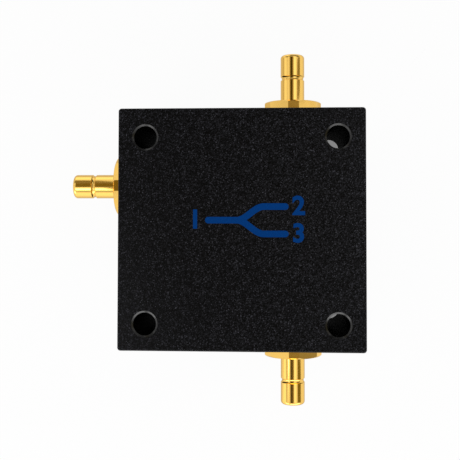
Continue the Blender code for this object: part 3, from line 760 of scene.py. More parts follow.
# %% [markdown]
# Insulators and contacts
#
# Inside each jack a white insulator holds a thin gold-plated pin on the axis. Only their front ends
# show, at the bottom of the socket, but from a low view they are what makes it a coaxial jack. The
# pin's end is rounded, as every pin is that has to find its way into a spring socket.

# %% Turn the insulators and contacts
PIN_RADIUS = 0.25 * MM
TAIL_RADIUS = 0.45 * MM
TAIL_SHOULDER = 1.0 * MM
SOCKET_DEPTH = 3.4 * MM
PIN_SETBACK = 0.8 * MM
TAIL_CHAMFER = 0.12 * MM


def insulator(port):
    """The stepped white sleeve between a shell and its contact."""
    seat = SEAT_FACE - FIT_GAP
    wide = SEAT_RADIUS - FIT_GAP
    narrow = SOCKET_RADIUS - FIT_GAP
    front = port.tip - SOCKET_DEPTH
    outline = [
        (TAIL_RADIUS + FIT_GAP, SHELL_REAR), (wide, SHELL_REAR), (wide, seat), (narrow, seat),
        (narrow, front - SOFT), (narrow - SOFT, front), (PIN_RADIUS + FIT_GAP, front),
        (PIN_RADIUS + FIT_GAP, TAIL_SHOULDER + FIT_GAP),
        (TAIL_RADIUS + FIT_GAP, TAIL_SHOULDER + FIT_GAP),
    ]
    piece = make_object(port.name + "_dielectric", turned(outline, 64), port.frame)
    return finish_piece(piece, PTFE, [port.name + "_insulator"])


def contact(port):
    """A round-ended pin in front and a thicker tail behind, as long as the frame has it."""
    low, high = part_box(port.name + "_contact")
    length = max(high[0] - low[0], high[1] - low[1])
    front = port.tip - PIN_SETBACK
    end = front - length
    outline = [(0, end), (TAIL_RADIUS - TAIL_CHAMFER, end), (TAIL_RADIUS, end + TAIL_CHAMFER),
               (TAIL_RADIUS, TAIL_SHOULDER), (PIN_RADIUS, TAIL_SHOULDER)]
    outline += arc(0, front - PIN_RADIUS, PIN_RADIUS, 0, 90)[:-1]
    outline += [(0, front)]
    piece = make_object(port.name + "_pin", turned(outline, 48), port.frame)
    return finish_piece(piece, PIN_GOLD, [port.name + "_contact"])


for port in PORTS:
    insulator(port)
    contact(port)

# %% [markdown]
# Blue print on the face
#
# The face carries a small screen print: ink squeezed through a mesh, which dries to a film about
# fifteen microns thick. It is a plain circuit symbol of a splitter, one line that parts in two, with
# a number at each end. The forked line is drawn as one outline by a formula, an S-bend mirrored in
# the symbol's axis, and then lifted to the film's thickness.

# %% Screen-printed blue ink
INK_SPECK_MM = 0.16
INK_WEAVE_MM = 0.30
INK_DARK = "003068"
INK_LIGHT = "003E86"


def screen_ink():
    """Epoxy ink: even and slightly glossy, with the coat's grain and a mesh showing through."""
    material, tree, shader, place = start_material(
        "blue_screen_printed_epoxy_ink", {"IOR": 1.5, "Specular IOR Level": 0.03,
                                          "Roughness": 0.42})
    speck = noise(tree, place, INK_SPECK_MM, 3.0)
    blend_colours(tree, shader, speck, INK_DARK, INK_LIGHT)
    weave = add_node(tree, "ShaderNodeTexVoronoi", {"Scale": 1 / INK_WEAVE_MM}, {"Vector": place})
    height = add_node(tree, "ShaderNodeMath", {"operation": "ADD"},
                      {0: weave.outputs["Distance"], 1: speck})
    raise_bumps(tree, shader, height.outputs[0], 0.5, 0.02)
    return material


BLUE_INK = screen_ink()
print("made", BLUE_INK.name)

# %% Draw the splitter symbol and its numbers
INK_THICKNESS = 0.015 * MM
INK_SINK = 0.004 * MM
SYMBOL_X = 1.0 * MM
SYMBOL_Y = 1.3 * MM
STROKE = 0.95 * MM
TRUNK_END = -5.7 * MM
FORK_X = -1.6 * MM
BEND_END_X = 2.2 * MM
ARM_END = 5.3 * MM
ARM_SPREAD = 1.95 * MM
NUMBER_HEIGHT = 2.7 * MM
NUMBER_GAP = 1.9 * MM
NUMBER_BOLDNESS = 0.12 * MM
DIGIT_SHARE = 0.73
DIGIT_WELD = 0.001 * MM
CAP_STEPS = 12
BEND_STEPS = 24


def arm_point(x):
    """The upper arm's centre line: level, an S-bend, and level again."""
    t = max(0.0, min(1.0, (x - FORK_X) / (BEND_END_X - FORK_X)))
    slope = 6 * t * (1 - t) * ARM_SPREAD / (BEND_END_X - FORK_X)
    return Vector((x, ARM_SPREAD * t * t * (3 - 2 * t))), Vector((-slope, 1)).normalized()


def cap(centre, radius, start):
    """A half-round stroke end, from one side round to the other."""
    return [centre + radius * Vector((cos(a), sin(a)))
            for a in [start + pi * i / CAP_STEPS for i in range(CAP_STEPS + 1)]]


def fork_outline():
    """One closed outline: trunk end, lower arm, crotch and upper arm."""
    half = STROKE / 2
    steps = [FORK_X + (BEND_END_X - FORK_X) * i / BEND_STEPS for i in range(BEND_STEPS + 1)]
    points = [arm_point(x) for x in steps]
    inner = [p - n * half for p, n in points if (p - n * half).y > 0]
    outer = [p + n * half for p, n in points]
    crotch = Vector((inner[0].x - inner[0].y, 0))
    upper = [crotch] + inner
    upper += cap(Vector((ARM_END, ARM_SPREAD)), half, -pi / 2)
    upper += outer[::-1]
    lower = [Vector((p.x, -p.y)) for p in upper[1:]]
    return upper + cap(Vector((TRUNK_END, 0)), half, pi / 2) + lower[::-1]


def print_fork():
    """The forked line as a thin raised film, sunk a hair into the coat."""
    bm = bmesh.new()
    low = FACE_Z - INK_SINK
    middle = Vector((SYMBOL_X, SYMBOL_Y))
    face = bm.faces.new([bm.verts.new((*(p + middle), low)) for p in fork_outline()])
    raised = bmesh.ops.extrude_face_region(bm, geom=[face])["geom"]
    top = [item for item in raised if isinstance(item, bmesh.types.BMVert)]
    bmesh.ops.translate(bm, verts=top, vec=(0, 0, INK_THICKNESS + INK_SINK))
    piece = make_object("splitter_symbol_print", bm)
    return finish_piece(piece, BLUE_INK, weighted=False)


def print_number(text, x, y):
    """A plain digit from Blender's own font, centred at a place on the face."""
    curve = bpy.data.curves.new("digit", "FONT")
    curve.body = text
    curve.size = NUMBER_HEIGHT / DIGIT_SHARE
    curve.align_x = "CENTER"
    curve.align_y = "CENTER"
    curve.extrude = (INK_THICKNESS + INK_SINK) / 2
    curve.offset = NUMBER_BOLDNESS
    bm = mesh_of_curve("digit", curve, DIGIT_WELD)
    lift = FACE_Z + (INK_THICKNESS - INK_SINK) / 2
    piece = make_object(f"port_number_{text}_print", bm, at(x, y, lift))
    return finish_piece(piece, BLUE_INK, weighted=False)


print_fork()
print_number("1", SYMBOL_X + TRUNK_END - NUMBER_GAP, SYMBOL_Y)
print_number("2", SYMBOL_X + ARM_END + NUMBER_GAP, SYMBOL_Y + ARM_SPREAD)
print_number("3", SYMBOL_X + ARM_END + NUMBER_GAP, SYMBOL_Y - ARM_SPREAD)

# %% [markdown]
# Screws
#
# The cover's four countersunk screws and the board's two pan-head screws are cold-headed: a die
# upsets the head and punches the cross into it, and then the thread is rolled. So the head is
# turned from an outline, the cross is a tapered cutter with four arms, and the thread comes from
# asking the turning tool for a slightly smaller radius between its crests.

# %% Make the cross-head screws
SCREW_PITCH = 0.4 * MM
SCREW_THREAD_DEPTH = 0.14 * MM
SCREW_POINT = 0.3 * MM
BOARD_HEAD_RADIUS = 1.75 * MM
BOARD_HEAD_HEIGHT = 1.3 * MM
BOARD_SCREW_LENGTH = 5.5 * MM
CROSS_HALF_SPAN = 0.95 * MM
CROSS_HALF_WIDTH = 0.225 * MM
CROSS_DEPTH = 0.8 * MM
CROSS_TAPER = 0.6
SCREW_SEGMENTS = 48


def cross_cutter(transform, up):
    """A tapered cross that sinks from the head's face; up is how far its floor lies above."""
    long, half = CROSS_HALF_SPAN, CROSS_HALF_WIDTH
    corner = [(half, half), (half, long), (-half, long)]
    outline = []
    for quarter in range(4):
        c, s = cos(quarter * pi / 2), sin(quarter * pi / 2)
        outline += [(c * x - s * y, s * x + c * y) for x, y in corner]
    bm = bmesh.new()
    levels = ((-CUTTER_REACH, 1.0), (0, 1.0), (up, CROSS_TAPER))
    rings = [[bm.verts.new((x * k, y * k, z)) for x, y in outline] for z, k in levels]
    for lower, upper in zip(rings, rings[1:]):
        for i in range(len(outline)):
            j = (i + 1) % len(outline)
            bm.faces.new((lower[i], lower[j], upper[j], upper[i]))
    bm.faces.new(rings[0])
    bm.faces.new(rings[-1])
    return make_object("cross", bm, transform)


def threaded(head_outline, low, high):
    """A head's outline and its threaded shank, with enough points for each turn of thread."""
    count = round((high - low) / SCREW_PITCH * THREAD_STEPS)
    return head_outline + [(SCREW_RADIUS, low + (high - low) * i / count)
                           for i in range(count + 1)]


def screw(name, head_outline, thread_low, end, transform, head_face):
    """A screw with its head down: head, rolled thread, chamfered point and punched cross."""
    thread_high = end - SCREW_POINT
    outline = threaded(head_outline, thread_low, thread_high)
    outline += [(SCREW_RADIUS - SCREW_POINT, end), (0, end)]

    def radius_at(radius, height, angle):
        if abs(radius - SCREW_RADIUS) > SAME:
            return radius
        return radius - thread_dip(height, angle, thread_low, thread_high + SCREW_POINT,
                                   SCREW_PITCH, SCREW_THREAD_DEPTH)

    piece = make_object(name + "_cross_head", turned(outline, SCREW_SEGMENTS, radius_at),
                        transform)
    cut(piece, [cross_cutter(transform @ at(0, 0, head_face), CROSS_DEPTH)])
    return finish_piece(piece, ZINC, [name], weighted=False)


def cover_screw(number, spot):
    """A countersunk screw, driven up from the back."""
    rim = HEAD_SINK + HEAD_RIM
    neck = rim + HEAD_RADIUS - SCREW_RADIUS
    head = [(0, HEAD_SINK), (HEAD_RADIUS - SOFT, HEAD_SINK), (HEAD_RADIUS, HEAD_SINK + SOFT),
            (HEAD_RADIUS, rim)]
    screw(f"cover_screw_{number}", head, neck, HEAD_SINK + COVER_SCREW_LENGTH, at(*spot),
          HEAD_SINK)


def board_screw(number, spot):
    """A pan-head screw that holds the board to its post."""
    low = -BOARD_HEAD_HEIGHT
    head = [(0, low)]
    head += arc(BOARD_HEAD_RADIUS - BOARD_HEAD_HEIGHT / 2, low / 2, BOARD_HEAD_HEIGHT / 2, -90, 0)
    head += [(BOARD_HEAD_RADIUS, 0)]
    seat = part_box(f"board_screw_{number}")[0][2] + BOARD_HEAD_HEIGHT
    screw(f"board_screw_{number}", head, 0, BOARD_SCREW_LENGTH, at(*spot, seat), low)


for number, spot in enumerate(COVER_SCREW_SPOTS, start=1):
    cover_screw(number, spot)
for number, spot in enumerate(BOARD_SCREW_SPOTS, start=1):
    board_screw(number, spot)

# %% [markdown]
# Washers and nuts
#
# Behind the wall each jack is held by a lock washer and a hexagon nut. The washer is stamped from
# spring steel, and its thin inner teeth are twisted so that their corners bite. A ring of sections
# gives it: each section is the same six points, and the inner two move in and out and up and down
# with the teeth. The nut is turned and tapped, then trimmed to its hexagon like the flange.

# %% Stamp the washers and tap the nuts
WASHER_RADIUS = 3.4 * MM
WASHER_THICKNESS = 0.5 * MM
WASHER_TEETH = 10
TOOTH_SECTIONS = 9
SECTIONS_PER_TOOTH = 16
TOOTH_LENGTH = 0.35 * MM
TOOTH_THICKNESS = 0.3 * MM
TOOTH_ROOT = 0.12 * MM
NUT_RADIUS = 3.6 * MM
NUT_FLATS = 6.35 * MM
NUT_THICKNESS = 1.8 * MM
NUT_CHAMFER = 0.3 * MM
NUT_HOLE = THREAD_RADIUS + FIT_GAP


def washer_section(step):
    """Six points of the washer's section at one step of a tooth."""
    is_tooth = step < TOOTH_SECTIONS
    spare = WASHER_THICKNESS - TOOTH_THICKNESS
    twist = step / (TOOTH_SECTIONS - 1) if is_tooth else 0.5
    reach = NUT_HOLE if is_tooth else NUT_HOLE + TOOTH_LENGTH
    root = NUT_HOLE + TOOTH_LENGTH + TOOTH_ROOT
    top = -spare * twist
    return [(WASHER_RADIUS, 0), (root, 0), (reach, top), (reach, top - TOOTH_THICKNESS),
            (root, -WASHER_THICKNESS), (WASHER_RADIUS, -WASHER_THICKNESS)]


def lock_washer(port):
    """A ring of sections behind the wall, closed on itself."""
    bm = bmesh.new()
    count = WASHER_TEETH * SECTIONS_PER_TOOTH
    sections = []
    for i in range(count):
        angle = 2 * pi * i / count
        sections.append([bm.verts.new((r * cos(angle), r * sin(angle), z))
                         for r, z in washer_section(i % SECTIONS_PER_TOOTH)])
    for one, other in zip(sections, sections[1:] + sections[:1]):
        for k in range(6):
            m = (k + 1) % 6
            bm.faces.new((one[k], other[k], other[m], one[m]))
    piece = make_object(port.name + "_tooth_washer", bm, port.frame @ at(0, 0, -WALL - SEAT_GAP))
    return finish_piece(piece, ZINC, [port.name + "_washer"], weighted=False)


def nut(port):
    """A tapped and chamfered blank behind the washer, cut to its hexagon."""
    face = -WALL - 2 * SEAT_GAP - WASHER_THICKNESS
    low = face - NUT_THICKNESS
    count = round(NUT_THICKNESS / THREAD_PITCH * THREAD_STEPS)
    outline = [(NUT_RADIUS - NUT_CHAMFER, low), (NUT_RADIUS, low + NUT_CHAMFER),
               (NUT_RADIUS, face - NUT_CHAMFER), (NUT_RADIUS - NUT_CHAMFER, face)]
    outline += [(NUT_HOLE, face - NUT_THICKNESS * i / count) for i in range(count + 1)]

    def radius_at(radius, height, angle):
        if abs(radius - NUT_HOLE) > SAME:
            return radius
        return radius + thread_dip(height, angle, low, face, THREAD_PITCH, THREAD_DEPTH)

    piece = make_object(port.name + "_hexagon_nut", turned(outline, FINE, radius_at), port.frame)
    cut(piece, [hexagon("nut_sides", NUT_FLATS, port.frame)], "INTERSECT")
    return finish_piece(piece, GOLD, [port.name + "_nut"], weighted=False)


for port in PORTS:
    lock_washer(port)
    nut(port)

# %% [markdown]
# Circuit board
#
# The board is glass cloth in epoxy, 1.6 mm thick, under a green solder mask. The mask is thin and
# glossy, and the weave of the cloth shows through it as a fine grid of about half a millimetre. Two
# wave textures at right angles make that grid. At a scale of 1 their bands repeat every pi / 10.

# %% Glass-epoxy board under its solder mask
CLOTH_MM = 0.5
MASK_DARK = "0E4A28"
MASK_LIGHT = "1D6B3A"
WAVE_PERIOD = pi / 10


def solder_mask():
    """Glossy green with the cloth's grid under it."""
    material, tree, shader, place = start_material(
        "green_solder_mask_on_glass_epoxy", {"IOR": 1.5, "Specular IOR Level": 0.5,
                                             "Roughness": 0.32})
    threads = [add_node(tree, "ShaderNodeTexWave",
                        {"bands_direction": direction, "wave_profile": "SIN",
                         "Scale": WAVE_PERIOD / CLOTH_MM, "Distortion": 0.6}, {"Vector": place})
               for direction in ("X", "Y")]
    weave = add_node(tree, "ShaderNodeMath", {"operation": "MULTIPLY"},
                     {0: threads[0].outputs["Fac"], 1: threads[1].outputs["Fac"]})
    blend_colours(tree, shader, weave.outputs[0], MASK_DARK, MASK_LIGHT)
    raise_bumps(tree, shader, weave.outputs[0], 0.4, 0.02)
    return material


BOARD_MIDDLE = middle_of("circuit_board")
BOARD_SIZE = Vector(BOARD_HIGH) - Vector(BOARD_LOW)
BOARD_EDGE = 0.08 * MM


def circuit_board():
    """The board with broken edges and its two screw holes."""
    bm = box_mesh(BOARD_SIZE)
    bmesh.ops.bevel(bm, geom=bm.edges[:], offset=BOARD_EDGE, segments=2, profile=0.5,
                    affect="EDGES")
    board = make_object("drilled_board", bm, Matrix.Translation(BOARD_MIDDLE))
    cut(board, drills(SCREW_HOLE_RADIUS, BOARD_LOW[2] - CUTTER_REACH,
                      BOARD_HIGH[2] + CUTTER_REACH, BOARD_SCREW_SPOTS))
    return finish_piece(board, solder_mask(), ["circuit_board"])


circuit_board()

# %% [markdown]
# Ring cores and their windings
#
# The two transformers are rings of ferrite wound by hand with enamelled copper wire. The hybrid core
# is wound with a red and a green wire side by side, and its two windings are what splits the signal
# evenly. A wire's path is a formula: it runs round the ring's squared section while it walks along
# the ring, and its two ends drop to the board.

# %% Fired ferrite and wire enamel
FERRITE_GRAIN_MM = 0.18
FERRITE_DARK = "2C2D30"
FERRITE_LIGHT = "4A4B50"
VARNISH_POOL_MM = 0.7


def fired_ferrite():
    """Grey ceramic with a fine speckled grain."""
    material, tree, shader, place = start_material(
        "fired_and_tumbled_ferrite", {"IOR": 1.5, "Specular IOR Level": 0.5})
    grain = noise(tree, place, FERRITE_GRAIN_MM, 6.0)
    blend_colours(tree, shader, grain, FERRITE_DARK, FERRITE_LIGHT)
    vary_roughness(tree, shader, grain, 0.45, 0.75)
    raise_bumps(tree, shader, grain, 0.6, 0.02)
    return material


def wire_enamel(name, colour, shade):
    """Baked varnish over copper wire: it pools a little, so its tint and gloss wander."""
    material, tree, shader, place = start_material(
        name, {"Metallic": 0.6, "Coat Weight": 0.5, "Coat Roughness": 0.08})
    pools = noise(tree, place, VARNISH_POOL_MM, 3.0)
    blend_colours(tree, shader, pools, shade, colour)
    vary_roughness(tree, shader, pools, 0.18, 0.34)
    return material


FERRITE = fired_ferrite()
RED_ENAMEL = wire_enamel("red_polyurethane_wire_enamel", "C2352A", "8E1F18")
GREEN_ENAMEL = wire_enamel("green_polyurethane_wire_enamel", "2F8A45", "1A5C2C")
CLEAR_ENAMEL = wire_enamel("clear_enamel_on_copper_wire", "C97848", "9A5430")
print("made", FERRITE.name, "and three wire enamels")

# %% Fire the cores and wind them
Core = namedtuple("Core", "node outer inner height")
HYBRID = Core("hybrid_core", 4.0 * MM, 1.9 * MM, 3.2 * MM)
MATCHING = Core("matching_core", 3.5 * MM, 1.6 * MM, 3.0 * MM)
CORE_EDGE = 0.25 * MM
WIRE_RADIUS = 0.2 * MM
WIRE_STANDOFF = 0.2 * MM
LEAD_RUN = 0.7 * MM
COIL_SQUARENESS = 6.0
COIL_SPAN = radians(300)
STEPS_PER_TURN = 40
LAST_TURN_CUT = STEPS_PER_TURN // 5
PAD_LEVEL = BOARD_LOW[2] - SEAT_GAP
WIRE_WELD = 0.00001 * MM


def ring_core(core):
    """A ring of squared section with rounded edges."""
    half = core.height / 2
    outline = []
    for radius, height, start in ((core.outer, half, 0), (core.inner, half, 90),
                                  (core.inner, -half, 180), (core.outer, -half, 270)):
        inward = -CORE_EDGE if radius == core.outer else CORE_EDGE
        up = -CORE_EDGE if height > 0 else CORE_EDGE
        outline += arc(radius + inward, height + up, CORE_EDGE, start, start + 90, 5)
    piece = make_object(core.node + "_ring", turned(outline), Matrix.Translation(
        middle_of(core.node)))
    return finish_piece(piece, FERRITE, [core.node], weighted=False)


def squared(value):
    """Push a cosine towards a square wave, so that a turn hugs the core's section."""
    return abs(value) ** (2 / COIL_SQUARENESS) * (1 if value >= 0 else -1)


def straight(start, end, count=8):
    """Points along a straight stretch, without its last one."""
    return [Vector(start).lerp(Vector(end), i / count) for i in range(count)]


def softened(points, rounds=3):
    """Cut each corner of a path a few times, so that wire bends instead of breaking."""
    for _ in range(rounds):
        cut_points = [points[0]]
        for one, other in zip(points, points[1:]):
            cut_points += [one.lerp(other, 0.25), one.lerp(other, 0.75)]
        points = cut_points + [points[-1]]
    return points


def coil_path(core, turns, start):
    """The wire from the board through all its turns and back to the board."""
    middle = (core.outer + core.inner) / 2
    off = WIRE_STANDOFF + WIRE_RADIUS
    half_wide = (core.outer - core.inner) / 2 + off
    half_high = core.height / 2 + off
    pad = PAD_LEVEL - middle_of(core.node).z
    out = middle + half_wide + LEAD_RUN
    turn_points = []
    for i in range(turns * STEPS_PER_TURN - LAST_TURN_CUT + 1):
        around = 2 * pi * i / STEPS_PER_TURN
        along = start + COIL_SPAN * i / (turns * STEPS_PER_TURN)
        reach = middle + half_wide * squared(cos(around))
        turn_points.append(Vector((reach * cos(along), reach * sin(along),
                                   -half_high * squared(sin(around)))))

    def lead(angle, z):
        return Vector((out * cos(angle), out * sin(angle), z))

    first = straight(lead(start, pad), lead(start, half_high / 2))
    first += straight(lead(start, half_high / 2), turn_points[0], 4)
    last = straight(turn_points[-1], lead(along, half_high / 2), 4)[1:]
    last += straight(lead(along, half_high / 2), lead(along, pad)) + [lead(along, pad)]
    return softened(first + turn_points + last, 1)


def tube(name, points, radius, transform, sides=5):
    """A round wire along a path, as a mesh with closed ends."""
    curve = bpy.data.curves.new(name, "CURVE")
    curve.dimensions = "3D"
    curve.bevel_depth = radius
    curve.bevel_resolution = sides
    curve.use_fill_caps = True
    spline = curve.splines.new("POLY")
    spline.points.add(len(points) - 1)
    for knot, point in zip(spline.points, points):
        knot.co = (*point, 1.0)
    return make_object(name, mesh_of_curve(name, curve, WIRE_WELD), transform)


LEAD_ENDS = []


def winding(node, core, turns, start, enamel):
    """Wind a core with one wire, and note where its two ends meet the board."""
    centre = Matrix.Translation(middle_of(core.node))
    points = coil_path(core, turns, start)
    LEAD_ENDS.extend([centre @ points[0], centre @ points[-1]])
    piece = tube(node + "_wire", points, WIRE_RADIUS, centre)
    return finish_piece(piece, enamel, [node], weighted=False)


ring_core(HYBRID)
ring_core(MATCHING)
HYBRID_TURNS = 6
MATCHING_TURNS = 8
HYBRID_START = radians(120)
MATCHING_START = radians(100)
HALF_PITCH = COIL_SPAN / HYBRID_TURNS / 2
winding("hybrid_winding_a", HYBRID, HYBRID_TURNS, HYBRID_START, RED_ENAMEL)
winding("hybrid_winding_b", HYBRID, HYBRID_TURNS, HYBRID_START + HALF_PITCH, GREEN_ENAMEL)
winding("matching_winding", MATCHING, MATCHING_TURNS, MATCHING_START, CLEAR_ENAMEL)

# %% [markdown]
# Resistor, capacitor and solder
#
# Both small parts have an axial body between two bent leads. The bodies were dipped in lacquer, so
# they bulge over the end caps and shine, and the resistor carries four colour bands. The bands are
# steps along the body's own axis. Solder has run up each wire's end in a small concave cone.

# %% Dipped lacquer
LACQUER_RIPPLE_MM = 0.6


def lacquer(name, bands, half_length):
    """Dipped lacquer with colour bands, each given by where it starts along the body."""
    material, tree, shader, place = start_material(
        name, {"IOR": 1.5, "Roughness": 0.3, "Coat Weight": 0.4, "Coat Roughness": 0.12})
    axis = add_node(tree, "ShaderNodeSeparateXYZ", {}, {"Vector": place})
    along = add_node(tree, "ShaderNodeMapRange",
                     {"From Min": -half_length / MM, "From Max": half_length / MM},
                     {"Value": axis.outputs["Z"]})
    ramp = add_node(tree, "ShaderNodeValToRGB", {}, {0: along.outputs["Result"]})
    ramp.color_ramp.interpolation = "CONSTANT"
    for i, (start, colour) in enumerate(bands):
        stop = ramp.color_ramp.elements[0] if i == 0 else ramp.color_ramp.elements.new(start)
        stop.position = start
        stop.color = linear(colour)
    ramp.color_ramp.elements.remove(ramp.color_ramp.elements[-1])
    ripple = noise(tree, place, LACQUER_RIPPLE_MM, 2.0)
    shade = add_node(tree, "ShaderNodeMapRange", {"To Min": 0.85, "To Max": 1.1},
                     {"Value": ripple})
    colour = add_node(tree, "ShaderNodeVectorMath", {"operation": "SCALE"},
                      {0: ramp.outputs["Color"], "Scale": shade.outputs["Result"]})
    tree.links.new(colour.outputs["Vector"], shader.inputs["Base Color"])
    raise_bumps(tree, shader, ripple, 0.5, 0.03)
    return material


TAN = "C2A077"
BROWN_BAND = "5A3418"
BLACK_BAND = "141414"
GOLD_BAND = "B08A3A"
OCHRE = "B98032"
RESISTOR_BANDS = ((0.0, TAN), (0.22, BROWN_BAND), (0.30, TAN), (0.38, BLACK_BAND), (0.46, TAN),
                  (0.54, BROWN_BAND), (0.62, TAN), (0.76, GOLD_BAND), (0.83, TAN))
PLAIN_OCHRE = ((0.0, OCHRE),)
print("resistor bands:", len(RESISTOR_BANDS) // 2)

# %% Resistor, capacitor and solder joints
LEAD_RADIUS = 0.25 * MM
LEAD_REACH = 1.3 * MM
END_BULGE = 0.15 * MM
BULGE_STEPS = 6
SOLDER_RADIUS = 0.55 * MM
SOLDER_DEPTH = 0.6 * MM
SOLDER_STEPS = 6


def dipped_body(length, radius):
    """Outline of a body that swells over its end caps."""
    half = length / 2
    waist = radius - END_BULGE
    right = [(waist, 2 * END_BULGE), (waist, half - 4 * END_BULGE)]
    right += [(waist + END_BULGE * (1 - cos(pi * i / BULGE_STEPS)) / 2,
               half - (4 - i / BULGE_STEPS) * END_BULGE) for i in range(1, BULGE_STEPS + 1)]
    right += arc(radius - 2 * END_BULGE, half - 2 * END_BULGE, 2 * END_BULGE, 0, 80, 8)
    right += [(LEAD_RADIUS + END_BULGE / 2, half + END_BULGE / 3),
              (LEAD_RADIUS, half + END_BULGE), (0, half + END_BULGE)]
    return [(r, -z) for r, z in reversed(right)] + right


def axial_part(node, length, radius, heading, finish):
    """A dipped body under the board, with its leads bent up to the pads."""
    low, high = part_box(node)
    body_z = low[2] + radius
    centre = middle_of(node)
    frame_here = at(centre.x, centre.y, body_z) @ heading
    body = make_object(node + "_body", turned(dipped_body(length, radius), 64), frame_here)
    finish_piece(body, finish, [node], weighted=False)
    rise = PAD_LEVEL - body_z
    reach = length / 2 + LEAD_REACH
    up = heading.to_3x3().inverted() @ Vector((0, 0, rise))
    for side, sign in (("near", -1), ("far", 1)):
        elbow = Vector((0, 0, sign * reach))
        path = straight((0, 0, sign * length / 2), elbow, 6) + straight(elbow, elbow + up, 6)
        path = softened(path + [elbow + up], 3)
        LEAD_ENDS.append(frame_here @ path[-1])
        lead = tube(f"{node}_{side}_lead", path, LEAD_RADIUS, frame_here)
        finish_piece(lead, ZINC, weighted=False)


ALONG_Y = Matrix.Rotation(-pi / 2, 4, "X")
ALONG_X = Matrix.Rotation(pi / 2, 4, "Y")
RESISTOR_LENGTH = 4.2 * MM
RESISTOR_RADIUS = 0.9 * MM
CAPACITOR_LENGTH = 3.4 * MM
CAPACITOR_RADIUS = 0.85 * MM
axial_part("isolation_resistor", RESISTOR_LENGTH, RESISTOR_RADIUS, ALONG_Y,
           lacquer("tan_dipped_lacquer", RESISTOR_BANDS, RESISTOR_LENGTH / 2))
axial_part("tuning_capacitor", CAPACITOR_LENGTH, CAPACITOR_RADIUS, ALONG_X,
           lacquer("ochre_dipped_lacquer", PLAIN_OCHRE, CAPACITOR_LENGTH / 2))


def solder_joints():
    """A concave cone of solder from the board down each wire's end, all in one piece."""
    profile = [(0, 0), (SOLDER_RADIUS, 0)]
    for i in range(1, SOLDER_STEPS + 1):
        climb = pi / 2 * i / SOLDER_STEPS
        profile.append((SOLDER_RADIUS - (SOLDER_RADIUS - LEAD_RADIUS) * sin(climb),
                        -SOLDER_DEPTH * (1 - cos(climb))))
    profile.append((0, -SOLDER_DEPTH))
    joined = bmesh.new()
    for spot in LEAD_ENDS:
        cone = turned(profile, 32)
        bmesh.ops.translate(cone, verts=cone.verts, vec=(spot.x, spot.y, BOARD_LOW[2]))
        mesh = bpy.data.meshes.new("cone")
        cone.to_mesh(mesh)
        cone.free()
        joined.from_mesh(mesh)
        bpy.data.meshes.remove(mesh)
    piece = make_object("solder_joints", joined)
    return finish_piece(piece, ZINC, weighted=False)


solder_joints()

# %% [markdown]
# Camera
#
# The photograph is taken from almost straight above, from close by: the lens is only about twelve
# centimetres over the face, so the jacks lean outwards and the bores can be looked through on one
# side. The place, tilt and focal length below were fitted to the corners, bores and jacks. The photo
# is a crop of a larger one, so its middle isn't where the lens points, and the frame is shifted.

# %% Place the camera
CAMERA_PLACE = Vector((5.064, 1.513, 135.028)) * MM
CAMERA_TILT = (radians(1.894), radians(3.148), radians(0.081))
FOCAL_LENGTH_MM = 61.98
SENSOR_WIDTH_MM = 36.0
CROP_SHIFT = (-0.0066, -0.0814)
NEAR_CLIP = 1 * MM
FAR_CLIP = 10.0


def place_camera():
    """The photo's own camera."""
    camera = bpy.data.objects.new("camera", bpy.data.cameras.new("camera"))
    camera.location = CAMERA_PLACE
    camera.rotation_euler = CAMERA_TILT
    camera.data.lens = FOCAL_LENGTH_MM
    camera.data.sensor_width = SENSOR_WIDTH_MM
    camera.data.shift_x, camera.data.shift_y = CROP_SHIFT
    camera.data.clip_start = NEAR_CLIP
    camera.data.clip_end = FAR_CLIP
    bpy.context.collection.objects.link(camera)
    bpy.context.scene.camera = camera
    return camera


print("camera height over the face in mm:", round((place_camera().location.z - FACE_Z) / MM, 1))

# %% [markdown]
# Floor and backdrop
#
# The photograph's ground is pure white, with no visible edge. Raising the lamps to burn the floor
# out would also burn the object, so the white comes from the material: what the camera and mirrors
# see is mostly a plain white glow, and a little real diffuse floor under it keeps the shadow. In
# the narrow bores the glow fades with the room around it, because little light gets down there. From
# below the floor can be looked through, so that the cover and its screws can be seen.

# %% Floor and world
FLOOR_HALF = 1.5
FLOOR_DROP = 0.02 * MM
SHADOW_SHARE = 0.05
POCKET_MM = 12.0
POCKET_GLOW = 0.20
OPEN_SKY = 0.30
WORLD_FILL = 0.65


def seen_or_mirrored(tree):
    """1 on rays from the camera, a mirror or glass, and 0 on rays that gather light."""
    rays = add_node(tree, "ShaderNodeLightPath", {}, {})
    seen = add_node(tree, "ShaderNodeMath", {"operation": "MAXIMUM"},
                    {0: rays.outputs["Is Camera Ray"], 1: rays.outputs["Is Glossy Ray"]})
    clear = add_node(tree, "ShaderNodeMath", {"operation": "MAXIMUM"},
                     {0: seen.outputs[0], 1: rays.outputs["Is Transmission Ray"]})
    return clear.outputs[0]


